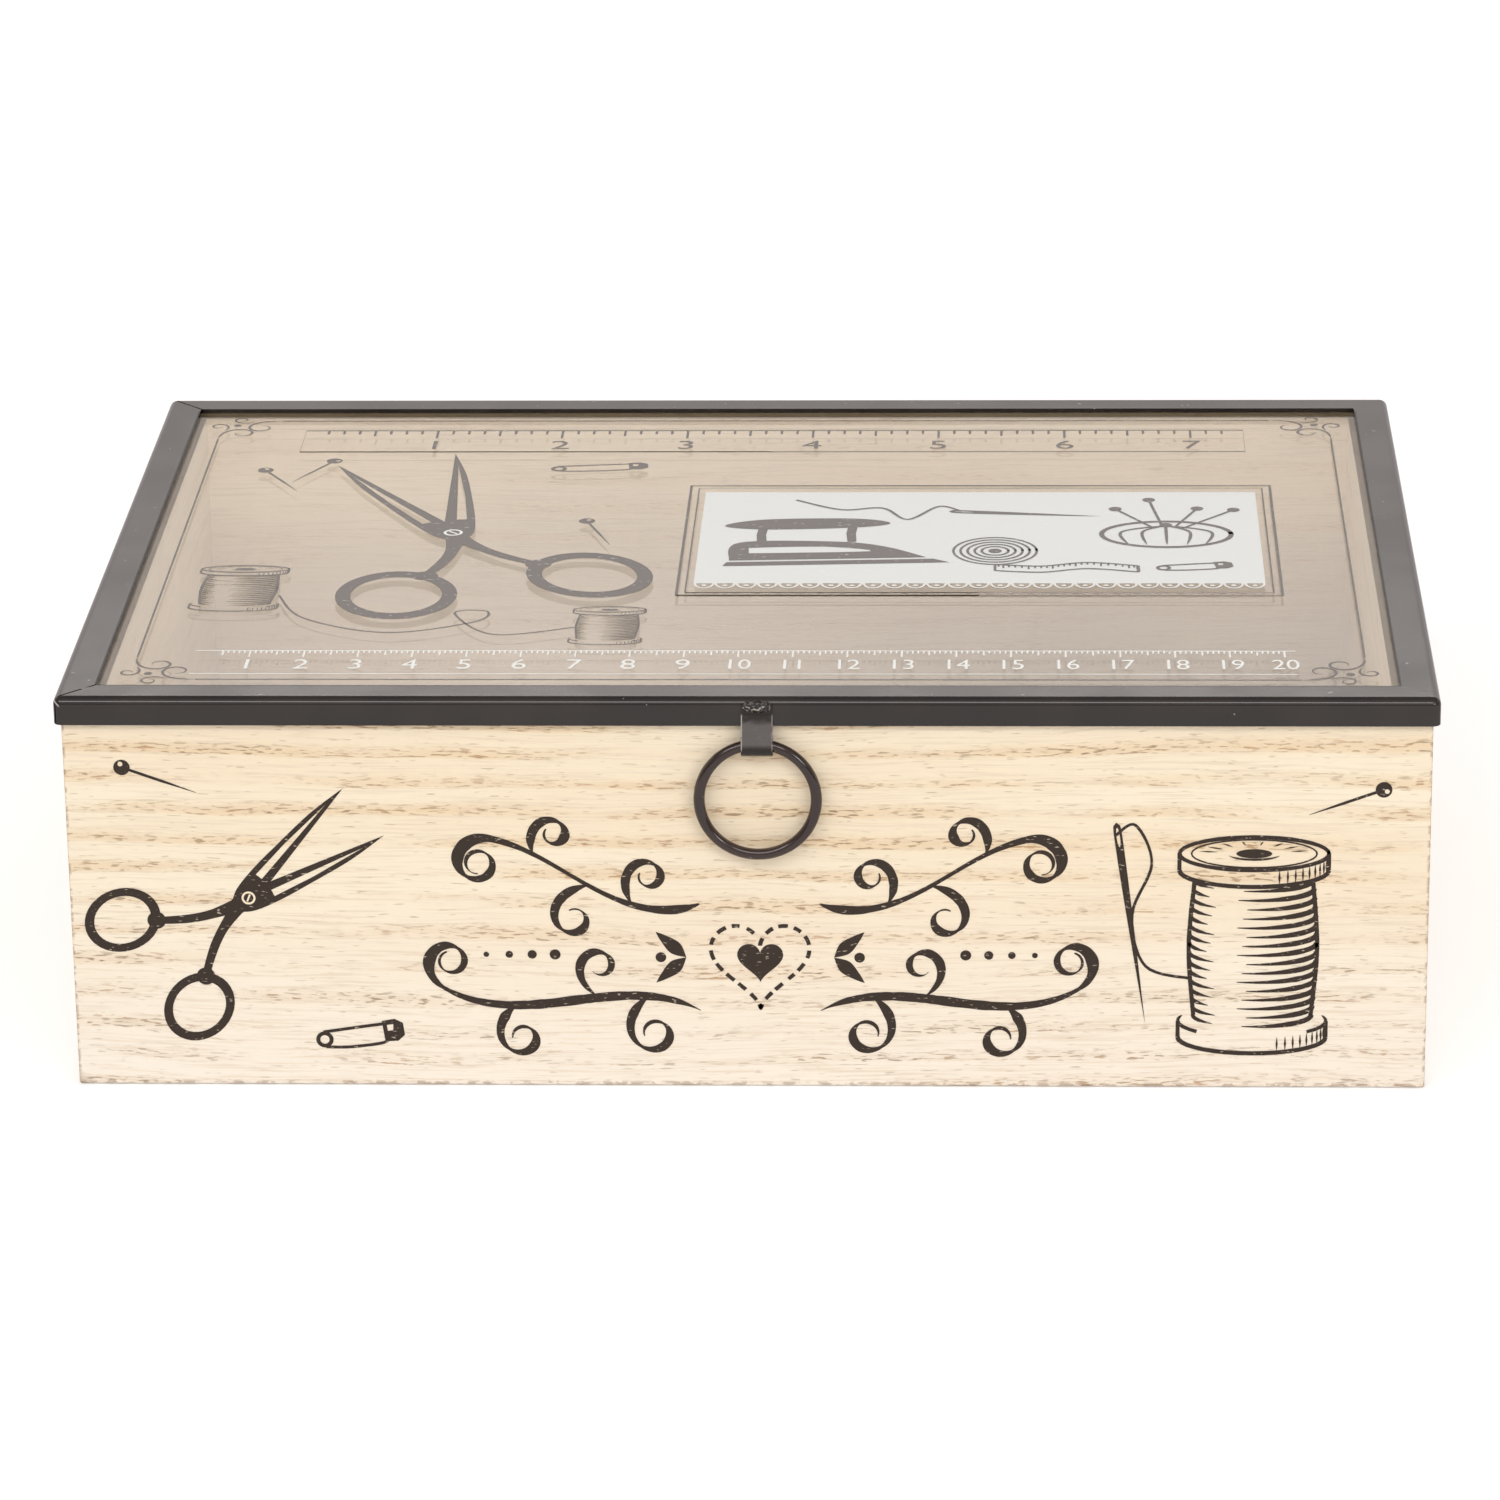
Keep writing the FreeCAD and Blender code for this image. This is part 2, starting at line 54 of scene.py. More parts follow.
def add_camera():
    """A level camera turned by its yaw, tipped down by its pitch, then rolled."""
    level = math.cos(CAMERA_PITCH)
    forward = Vector((math.sin(CAMERA_YAW) * level, math.cos(CAMERA_YAW) * level,
                      -math.sin(CAMERA_PITCH)))
    right = Vector((math.cos(CAMERA_YAW), -math.sin(CAMERA_YAW), 0.0))
    up = right.cross(forward)
    rolled_right = right * math.cos(CAMERA_ROLL) + up * math.sin(CAMERA_ROLL)
    rolled_up = up * math.cos(CAMERA_ROLL) - right * math.sin(CAMERA_ROLL)
    lens = bpy.data.cameras.new("photo_camera")
    lens.sensor_width = SENSOR
    lens.lens = FOCAL_PIXELS * SENSOR / PHOTO_SIDE
    lens.clip_start = 0.01
    camera = bpy.data.objects.new("photo_camera", lens)
    turn = Matrix((rolled_right, rolled_up, -forward)).transposed()
    camera.matrix_world = Matrix.Translation(CAMERA_PLACE) @ turn.to_4x4()
    bpy.context.scene.collection.objects.link(camera)
    bpy.context.scene.camera = camera


add_camera()


# Materials

def colour(red, green, blue):
    """A colour as a screen shows it, 0 to 255 a channel, made linear."""
    channels = []
    for channel in (red, green, blue):
        share = channel / 255
        linear = share / 12.92 if share <= 0.04045 else ((share + 0.055) / 1.055) ** 2.4
        channels.append(linear)
    return (*channels, 1.0)


class Nodes:
    """Short ways to make and join the nodes of one tree."""

    def __init__(self, tree):
        self.links = tree.links
        self.nodes = tree.nodes

    def give(self, node, socket, thing):
        """Set a socket to a value, or join another node's output to it."""
        if isinstance(thing, bpy.types.NodeSocket):
            self.links.new(thing, node.inputs[socket])
        else:
            node.inputs[socket].default_value = thing

    def maths(self, operation, *terms):
        node = self.nodes.new("ShaderNodeMath")
        node.operation = operation
        for index, term in enumerate(terms):
            self.give(node, index, term)
        return node.outputs[0]

    def split(self, vector):
        node = self.nodes.new("ShaderNodeSeparateXYZ")
        self.give(node, 0, vector)
        return node.outputs[:3]

    def joined(self, x, y, z):
        node = self.nodes.new("ShaderNodeCombineXYZ")
        for index, part in enumerate((x, y, z)):
            self.give(node, index, part)
        return node.outputs[0]

    def noise(self, place, scale, detail=2.0, offset=(0, 0, 0)):
        """Cloudy noise from 0 to 1, with so many cells a metre along each axis."""
        node = self.nodes.new("ShaderNodeMapping")
        self.give(node, "Vector", place)
        self.give(node, "Scale", scale)
        self.give(node, "Location", offset)
        cloud = self.nodes.new("ShaderNodeTexNoise")
        self.give(cloud, "Vector", node.outputs[0])
        self.give(cloud, "Scale", 1.0)
        self.give(cloud, "Detail", detail)
        return cloud.outputs["Fac"]

    def step(self, thing, low, high, start=0.0, end=1.0):
        """A smooth step from start, at low, to end, at high."""
        node = self.nodes.new("ShaderNodeMapRange")
        node.interpolation_type = "SMOOTHSTEP"
        for socket, term in zip(("Value", "From Min", "From Max", "To Min", "To Max"),
                                (thing, low, high, start, end)):
            self.give(node, socket, term)
        return node.outputs[0]

    def mix(self, share, first, second):
        node = self.nodes.new("ShaderNodeMix")
        node.data_type = "RGBA"
        sockets = [s for s in node.inputs if s.type == "RGBA"]
        self.give(node, "Factor", share)
        for socket, thing in zip(sockets, (first, second)):
            self.give(node, list(node.inputs).index(socket), thing)
        return [s for s in node.outputs if s.type == "RGBA"][0]


class Shader(Nodes):
    """A node material, built round its Principled surface."""

    def __init__(self, name):
        self.material = bpy.data.materials.new(name)
        self.material.use_nodes = True
        super().__init__(self.material.node_tree)
        self.surface = self.nodes["Principled BSDF"]
        self.output = self.nodes["Material Output"]
        place = self.nodes.new("ShaderNodeTexCoord")
        self.where = place.outputs["Object"]
        self.facing = place.outputs["Normal"]

    def bump(self, height, depth):
        """Raise the surface by depth metres where height is 1."""
        node = self.nodes.new("ShaderNodeBump")
        self.give(node, "Height", height)
        self.give(node, "Distance", depth)
        self.give(self.surface, "Normal", node.outputs[0])


CREAM = colour(252, 240, 215)
WARM = colour(249, 233, 205)
FLOOR_BOUNCE_LIGHT = colour(254, 247, 236)
STREAK = colour(233, 215, 190)
BAND_TINT = colour(237, 208, 166)
PORE_TAN = colour(196, 150, 102)
PORE_GREY = colour(152, 120, 88)
END_GRAIN = colour(232, 210, 178)
BRUISE = colour(150, 116, 84)
INSIDE_SHADE = colour(182, 173, 168)

carcass_low, carcass_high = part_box("front_panel")
HALF_WIDTH = carcass_high.x
HALF_DEPTH = -carcass_low.y

# How far apart the growth rings are, and how much the boards' cut sways and slants them
RING_PERIOD = 0.0061
SWAY = 0.010
RIPPLE = 0.0018
SLANT = 0.35

# Noise cells a metre, along the grain, into the board and up
SWAY_CELLS = (5, 20, 20)
RIPPLE_CELLS = (36, 90, 110)
PATCH_CELLS = (24, 60, 170)
PORE_CELLS = (330, 1500, 2300)
STRAY_CELLS = (290, 1500, 2200)
THREAD_CELLS = (75, 1200, 2600)
BROAD_CELLS = (6, 30, 55)
HUE_CELLS = (40, 90, 200)
SPECK_CELLS = (900, 900, 1400)

# The wood is painted paler from this height down to its foot, a painted pool of light bounced up from
# the floor. Inside the box it is painted darker between two heights, a painted shade.
FLOOR_BOUNCE_TOP = 0.05
PAINTED_SHADE_BELOW = (0.035, 0.060)


def wood(name, along_y, offset, painted_shade=0.0):
    """Pale wood: cream ground, fine streaks, and growth rings marked by short brown pores."""
    shader = Shader(name)
    x, y, z = shader.split(shader.where)
    grain, depth = (y, x) if along_y else (x, y)
    place = shader.joined(grain, depth, z)

    sway = shader.noise(place, SWAY_CELLS, 1.0, offset)
    ripple = shader.noise(place, RIPPLE_CELLS, 2.0, offset)
    warped = shader.maths("MULTIPLY_ADD", sway, SWAY, z)
    warped = shader.maths("MULTIPLY_ADD", ripple, RIPPLE, warped)
    warped = shader.maths("MULTIPLY_ADD", depth, SLANT, warped)
    rings = shader.maths("ADD", warped, offset[2])
    ring = shader.maths("FRACT", shader.maths("DIVIDE", rings, RING_PERIOD))
    rise = shader.step(ring, 0.0, 0.12)
    fall = shader.step(ring, 0.22, 0.62, 1.0, 0.0)
    band = shader.maths("MULTIPLY", rise, fall)
    patch = shader.step(shader.noise(place, PATCH_CELLS, 2.0, offset), 0.36, 0.60)
    band = shader.maths("MULTIPLY", band, patch)
    inside = shader.step(from_outside(shader), 0.0005, 0.001)
    band = shader.maths("MULTIPLY", band, shader.step(inside, 0.0, 1.0, 1.0, 0.4))

    flowing = shader.joined(grain, depth, warped)
    dash = shader.noise(flowing, PORE_CELLS, 3.0, offset)
    dashes = shader.step(dash, 0.54, 0.64)
    pores = shader.maths("MULTIPLY", dashes, band)
    stray = shader.step(shader.noise(flowing, STRAY_CELLS, 1.0, (7, 3, 5)), 0.66, 0.74)
    stray = shader.maths("MULTIPLY", stray, shader.step(inside, 0.0, 1.0, 0.45, 0.15))
    pores = shader.maths("MAXIMUM", pores, stray)

    broad = shader.noise(place, BROAD_CELLS, 2.0, offset)
    ground = shader.mix(shader.step(broad, 0.35, 0.65), CREAM, WARM)
    ground = shader.mix(shader.maths("MULTIPLY", band, 0.6), ground, BAND_TINT)
    # Painted light: the ground pales towards the foot, standing in for light bounced up from the floor.
    ground = shader.mix(shader.step(z, 0.0, FLOOR_BOUNCE_TOP, 0.7, 0.0), ground, FLOOR_BOUNCE_LIGHT)
    thread = shader.noise(flowing, THREAD_CELLS, 3.0, offset)
    threads = shader.step(thread, 0.48, 0.70, 0.0, 0.6)
    ground = shader.mix(threads, ground, STREAK)
    hue = shader.step(shader.noise(place, HUE_CELLS, 1.0, offset), 0.4, 0.6)
    tone = shader.mix(hue, PORE_TAN, PORE_GREY)
    face = shader.mix(shader.maths("MULTIPLY", pores, 0.75), ground, tone)

    grainward = shader.split(shader.facing)[1 if along_y else 0]
    ends = shader.step(shader.maths("ABSOLUTE", grainward), 0.6, 0.8)
    speck = shader.noise(place, SPECK_CELLS, 2.0, offset)
    end_tone = shader.mix(shader.step(speck, 0.5, 0.66), END_GRAIN, PORE_TAN)
    face = shader.mix(ends, face, end_tone)

    face = shader.mix(bruised(shader, place), face, BRUISE)
    # Painted shade: inside the box the wood is darkened towards its lower part, and the bottom panel by
    # a given share all over.
    low_inside_shade = shader.maths("MULTIPLY", inside, shader.step(z, *PAINTED_SHADE_BELOW, 0.36, 0.0))
    face = shader.mix(shader.maths("MAXIMUM", low_inside_shade, painted_shade), face, INSIDE_SHADE)
    shader.give(shader.surface, "Base Color", face)
    rough = shader.step(thread, 0.3, 0.7, 0.5, 0.66)
    shader.give(shader.surface, "Roughness", rough)
    shader.give(shader.surface, "Specular IOR Level", 0.3)
    relief = shader.maths("MULTIPLY_ADD", pores, -1.0, shader.maths("MULTIPLY", thread, 0.5))
    shader.bump(relief, 0.00012)
    return shader.material


def margins(shader, half_width, half_depth):
    """How far inwards a place lies from the sides and from the ends of a rectangle."""
    x, y, _ = shader.split(shader.where)
    from_side = shader.maths("SUBTRACT", half_width, shader.maths("ABSOLUTE", x))
    from_end = shader.maths("SUBTRACT", half_depth, shader.maths("ABSOLUTE", y))
    return from_side, from_end


def from_outside(shader):
    """How far inwards from the nearest outer face of the walls."""
    return shader.maths("MINIMUM", *margins(shader, HALF_WIDTH, HALF_DEPTH))


def bruised(shader, place):
    """Where the wood is nicked: its upright arrises, its lower edge and the front left corner."""
    x, y, z = shader.split(shader.where)
    from_side, from_end = margins(shader, HALF_WIDTH, HALF_DEPTH)
    nick = shader.step(shader.noise(place, (500, 500, 900), 2.0), 0.47, 0.58)
    arris = shader.step(shader.maths("MAXIMUM", from_side, from_end), 0.0002, 0.0007, 0.5, 0.0)
    outside = shader.step(from_outside(shader), 0.0002, 0.0006, 0.5, 0.0)
    foot = shader.maths("MULTIPLY", outside, shader.step(z, 0.0004, 0.0012, 1.0, 0.0))
    edge = shader.maths("MULTIPLY", shader.maths("MAXIMUM", arris, foot), nick)
    from_corner = shader.maths("ADD", x, HALF_WIDTH)
    from_corner = shader.maths("ADD", from_corner, shader.maths("ADD", y, HALF_DEPTH))
    from_corner = shader.maths("ADD", from_corner, z)
    dent = shader.noise(place, (420, 420, 420), 2.0)
    worn = shader.step(shader.maths("MULTIPLY_ADD", dent, 0.004, from_corner), 0.003, 0.006, 0.5, 0.0)
    return shader.maths("MAXIMUM", edge, worn)


BLACK_PAINT = colour(31, 25, 22)
BLACK_PAINT_LIGHT = colour(40, 33, 29)
RING_PAINT = colour(33, 14, 8)
RING_PAINT_LIGHT = colour(45, 22, 14)
DUST = colour(150, 144, 138)
SEAM_AND_EDGE_SHADE = colour(16, 14, 13)
BARE_METAL = colour(205, 196, 188)
lid_low, lid_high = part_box("lid_rail_left")
LID_HALF_WIDTH = -lid_low.x
LID_HALF_DEPTH = -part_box("lid_rail_front")[0].y
FLANGE = LID_HALF_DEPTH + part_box("lid_rail_front")[1].y
PEEL_DEPTH = 0.000005

# Half widths between which a seam and a scratch fade out
SEAM_HALF = (0.00020, 0.00036)
SCRATCH_HALF = (0.00010, 0.00025)


def painted(name, dark, light, roughness, gloss, seams=False):
    """Satin paint on sheet metal, a little uneven, with dust and fine orange peel."""
    shader = Shader(name)
    cloud = shader.noise(shader.where, (60, 60, 60), 3.0)
    face = shader.mix(shader.step(cloud, 0.35, 0.65), dark, light)
    dust = shader.step(shader.noise(shader.where, (700, 700, 700), 1.0), 0.775, 0.80, 0.0, 0.7)
    face = shader.mix(dust, face, DUST)
    height = shader.noise(shader.where, (900, 900, 900), 2.0)
    # Dark soldered seams, a painted shade along the inner edge beside the pane, and a scratch at the
    # front left corner.
    if seams:
        line = mitre_line(shader)
        face = shader.mix(line, face, SEAM_AND_EDGE_SHADE)
        height = shader.maths("MULTIPLY_ADD", line, -6.0, height)
        gloss = shader.step(line, 0.0, 1.0, gloss, 0.0)
        face = shader.mix(corner_chip(shader), face, BARE_METAL)
    shader.give(shader.surface, "Base Color", face)
    shader.give(shader.surface, "Specular IOR Level", gloss)
    rough = shader.step(cloud, 0.3, 0.7, roughness - 0.03, roughness + 0.04)
    shader.give(shader.surface, "Roughness", rough)
    shader.bump(height, PEEL_DEPTH)
    return shader.material


def mitre_line(shader):
    """The soldered seams across the frame's corners, and a painted shade along the flanges' inner edge
    beside the pane, on all but the rear rail.
    """
    x, y, _ = shader.split(shader.where)
    from_side, from_end = margins(shader, LID_HALF_WIDTH, LID_HALF_DEPTH)
    off = shader.maths("ABSOLUTE", shader.maths("SUBTRACT", from_side, from_end))
    uneven = shader.noise(shader.where, (260, 260, 260), 2.0)
    line = shader.step(off, *SEAM_HALF, 1.0, 0.0)
    broken = shader.step(uneven, 0.36, 0.42)
    strong = shader.step(x, -0.001, 0.001, 1.0, 0.2)
    seam = shader.maths("MULTIPLY", shader.maths("MULTIPLY", line, broken), strong)
    inwards = shader.maths("MINIMUM", from_side, from_end)
    # Painted shade: a dark, unglossy strip along the flanges' inner edge.
    inner = shader.step(inwards, FLANGE - 0.0005, FLANGE - 0.0002, 0.0, 0.7)
    in_front = shader.step(y, LID_HALF_DEPTH - 0.0090, LID_HALF_DEPTH - 0.0072, 1.0, 0.0)
    return shader.maths("MAXIMUM", seam, shader.maths("MULTIPLY", inner, in_front))


def corner_chip(shader):
    """A scratch through the paint, down and inwards from the front left corner."""
    x, y, z = shader.split(shader.where)
    inwards = shader.maths("ADD", x, LID_HALF_WIDTH)
    down = shader.maths("SUBTRACT", lid_high.z, z)
    slope = shader.maths("MULTIPLY_ADD", inwards, 0.8, 0.0006)
    off = shader.maths("ABSOLUTE", shader.maths("SUBTRACT", down, slope))
    line = shader.step(off, *SCRATCH_HALF, 0.8, 0.0)
    line = shader.maths("MULTIPLY", line, shader.step(inwards, 0.0010, 0.0014, 1.0, 0.0))
    from_front = shader.maths("ADD", y, LID_HALF_DEPTH)
    return shader.maths("MULTIPLY", line, shader.step(from_front, 0.0020, 0.0025, 1.0, 0.0))


PANE_SHADE = (0.80, 0.79, 0.78, 1.0)


def clear_glass(name):
    """Clear pane with a faint warm tint, which lets lamp light through to the inside."""
    shader = Shader(name)
    smear = shader.noise(shader.where, (14, 9, 14), 2.0)
    shader.give(shader.surface, "Base Color", colour(252, 250, 246))
    shader.give(shader.surface, "Transmission Weight", 1.0)
    shader.give(shader.surface, "IOR", 1.46)
    shader.give(shader.surface, "Roughness", shader.step(smear, 0.3, 0.8, 0.0, 0.03))
    path = shader.nodes.new("ShaderNodeLightPath")
    open_pane = shader.nodes.new("ShaderNodeBsdfTransparent")
    shader.give(open_pane, "Color", PANE_SHADE)
    blend = shader.nodes.new("ShaderNodeMixShader")
    shader.give(blend, 0, path.outputs["Is Shadow Ray"])
    shader.give(blend, 1, shader.surface.outputs[0])
    shader.give(blend, 2, open_pane.outputs[0])
    shader.give(shader.output, "Surface", blend.outputs[0])
    return shader.material


def turned_steel(name, tone, roughness):
    """Bare or blackened steel wire, metallic, with faint drawing marks."""
    shader = Shader(name)
    cloud = shader.noise(shader.where, (300, 300, 300), 3.0)
    darker = tuple(0.7 * channel for channel in tone[:3]) + (1.0,)
    shader.give(shader.surface, "Base Color", shader.mix(cloud, darker, tone))
    shader.give(shader.surface, "Metallic", 0.6)
    shader.give(shader.surface, "Roughness", shader.step(cloud, 0.3, 0.7, roughness, roughness + 0.1))
    shader.bump(cloud, 0.00001)
    return shader.material


ring_low, ring_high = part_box("pull_ring")
PULL_MIDDLE = (ring_low.x + ring_high.x) / 2
strap_low, strap_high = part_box("pull_strap")
STRAP_HALF = (strap_high.x - strap_low.x) / 2
WORN_PAINT_AND_HIGHLIGHT = colour(172, 165, 158)
STRAP_PAINTED_REFLECTION = colour(99, 94, 92)


def worn_strap(name):
    """The strap's paint, worn through along its edges where a painted highlight also lies, with a
    painted reflection lightening its face below the solder.
    """
    shader = Shader(name)
    x, _, z = shader.split(shader.where)
    cloud = shader.noise(shader.where, (700, 700, 700), 3.0)
    off = shader.maths("ABSOLUTE", shader.maths("SUBTRACT", x, PULL_MIDDLE))
    face = shader.mix(cloud, BLACK_PAINT, BLACK_PAINT_LIGHT)
    down = shader.maths("SUBTRACT", strap_high.z, shader.maths("MULTIPLY_ADD", cloud, 0.0016, z))
    up = shader.maths("SUBTRACT", z, strap_low.z)
    # Painted reflection: the slanted face below the solder is lightened.
    painted_reflection = shader.maths("MULTIPLY", shader.step(down, 0.0018, 0.0030, 0.0, 0.8),
                         shader.step(up, 0.00185, 0.00275))
    face = shader.mix(painted_reflection, face, STRAP_PAINTED_REFLECTION)
    # Partly real wear, partly painted highlight: the edges are lightened where paint is worn and where
    # light catches them, half as much on the shaded right edge.
    edge = shader.step(off, STRAP_HALF - 0.00029, STRAP_HALF - 0.00009)
    edge_wear_and_highlight = shader.maths("MULTIPLY", edge, shader.step(cloud, 0.40, 0.52))
    shaded_right_edge = shader.step(x, PULL_MIDDLE - 0.001, PULL_MIDDLE + 0.001, 1.0, 0.5)
    edge_wear_and_highlight = shader.maths("MULTIPLY", edge_wear_and_highlight, shaded_right_edge)
    edge_wear_and_highlight = shader.maths("MULTIPLY", edge_wear_and_highlight, shader.step(up, 0.00115, 0.00215))
    below_solder = shader.maths("SUBTRACT", strap_high.z, z)
    edge_wear_and_highlight = shader.maths("MULTIPLY", edge_wear_and_highlight, shader.step(below_solder, 0.0016, 0.0022))
    face = shader.mix(edge_wear_and_highlight, face, WORN_PAINT_AND_HIGHLIGHT)
    shader.give(shader.surface, "Base Color", face)
    shader.give(shader.surface, "Roughness", shader.step(cloud, 0.3, 0.7, 0.16, 0.28))
    shader.give(shader.surface, "Specular IOR Level", 0.42)
    shader.bump(cloud, 0.00003)
    return shader.material


frame_paint = painted("frame_paint", BLACK_PAINT, BLACK_PAINT_LIGHT, 0.17, 0.36, seams=True)
front_paint = painted("front_rail_paint", BLACK_PAINT, BLACK_PAINT_LIGHT, 0.12, 0.62, seams=True)
hinge_paint = painted("hinge_paint", BLACK_PAINT, BLACK_PAINT_LIGHT, 0.22, 0.4)
fixing_steel = turned_steel("fixing_steel", colour(120, 114, 108), 0.3)
LOOKS = {
    "lid_rail_front": front_paint,
    "front_panel": wood("front_wood", False, (0.31, 0.12, 0.003)),
    "rear_panel": wood("rear_wood", False, (0.83, 0.47, 0.011)),
    "left_panel": wood("left_wood", True, (1.37, 0.29, 0.007)),
    "right_panel": wood("right_wood", True, (1.91, 0.63, 0.002)),
    # The bottom panel's wood carries a painted shade all over.
    "bottom_panel": wood("bottom_wood", False, (2.41, 0.85, 0.005), 0.2),
    "lid_glass": clear_glass("lid_pane"),
    "pull_strap": worn_strap("strap_paint"),
    "pull_ring": painted("ring_paint", RING_PAINT, RING_PAINT_LIGHT, 0.1, 0.8),
}
for name, node in nodes.items():
    if name.endswith(("pin", "screws")):
        look = fixing_steel
    else:
        look = LOOKS.get(name, frame_paint if name.startswith("lid_rail") else hinge_paint)
    node.data.materials.clear()
    node.data.materials.append(look)


# Solder that holds the head of the strap to the front rail

SOLDER_HALF = 0.0026
SOLDER_RADIUS = 0.0012
SOLDER_DROP = 0.0015
SOLDER_ROWS = 26
SOLDER_RING = 14


def add_solder():
    """A lumpy bead, half sunk in the rail and the strap."""
    middle = Vector((PULL_MIDDLE, -LID_HALF_DEPTH - 0.0001, lid_high.z - SOLDER_DROP))
    points = []
    for i in range(SOLDER_ROWS + 1):
        share = i / SOLDER_ROWS
        bulge = max(0.02, math.sin(math.pi * share)) ** 0.3
        for k in range(SOLDER_RING):
            angle = math.tau * k / SOLDER_RING
            across, up = math.cos(angle), math.sin(angle)
            lump = 1 + 0.3 * noise.noise((share * 7.0, across * 1.4, up * 1.4))
            reach = SOLDER_RADIUS * bulge * lump
            along = (2 * share - 1) * SOLDER_HALF
            points.append(middle + Vector((along, -0.75 * reach * across, reach * up)))
    faces = []
    for i in range(SOLDER_ROWS):
        for k in range(SOLDER_RING):
            a, b = i * SOLDER_RING + k, i * SOLDER_RING + (k + 1) % SOLDER_RING
            faces.append((a, b, b + SOLDER_RING, a + SOLDER_RING))
    faces.append(tuple(range(SOLDER_RING))[::-1])
    faces.append(tuple(SOLDER_ROWS * SOLDER_RING + k for k in range(SOLDER_RING)))
    mesh = bpy.data.meshes.new("solder")
    mesh.from_pydata(points, [], faces)
    mesh.polygons.foreach_set("use_smooth", [True] * len(mesh.polygons))
    shader = Shader("solder_paint")
    crumb = shader.noise(shader.where, (1300, 1300, 2600), 3.0)
    height = shader.split(shader.where)[2]
    # Crumbs of bare solder, lighter and denser along the bead's middle height, partly a painted
    # highlight.
    from_crest = shader.maths("ABSOLUTE", shader.maths("SUBTRACT", height, middle.z - 0.0001))
    light = shader.maths("MULTIPLY", shader.step(from_crest, 0.0002, 0.0007, 1.0, 0.25),
                         shader.step(crumb, 0.5, 0.62))
    shader.give(shader.surface, "Base Color", shader.mix(light, BLACK_PAINT, WORN_PAINT_AND_HIGHLIGHT))
    shader.give(shader.surface, "Roughness", 0.25)
    shader.give(shader.surface, "Specular IOR Level", 0.5)
    shader.bump(crumb, 0.0003)
    mesh.materials.append(shader.material)
    bead = bpy.data.objects.new("solder", mesh)
    bpy.context.scene.collection.objects.link(bead)
    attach(bead, "lid")


add_solder()


# Printed ornament: flat ink shapes, drawn in millimetres with x + y j as a point

MILLIMETRE = 0.001


def polar(radius, degrees):
    return cmath.rect(radius, math.radians(degrees))


def smooth(knots, closed=False, steps=8):
    """A curve through every knot."""
    count = len(knots)
    points = []
    for i in range(count if closed else count - 1):
        around = [i - 1, i, i + 1, i + 2]
        if not closed:
            around = [min(max(k, 0), count - 1) for k in around]
        a, b, c, d = [knots[k % count] for k in around]
        for t in (step / steps for step in range(steps)):
            points.append(b + (c - a) * t / 2 + (2 * a - 5 * b + 4 * c - d) * t ** 2 / 2
                          + (3 * b - a - 3 * c + d) * t ** 3 / 2)
    return points if closed else points + [knots[-1]]


def arc(middle, radius, start, end, squash=1.0):
    """Points along an ellipse from one angle to another, its height squashed."""
    count = max(3, round(abs(end - start) / 10))
    sweep = [polar(radius, start + (end - start) * i / count) for i in range(count + 1)]
    return [middle + complex(p.real, p.imag * squash) for p in sweep]


def curl(start, heading, length, first_bend, last_bend):
    """A line that bends more and more, from one rate to another in degrees a millimetre."""
    turned = abs(first_bend + last_bend) / 2 * length
    count = max(8, round(length / 0.9), round(turned / 9))
    stride = length / count
    points = [start]
    for i in range(count):
        bend = first_bend + (last_bend - first_bend) * (i + 0.5) / count
        heading += bend * stride / 2
        points.append(points[-1] + polar(stride, heading))
        heading += bend * stride / 2
    return points


SHAPE_LIFT = 0.0000015
SHAPE_LEVELS = 16


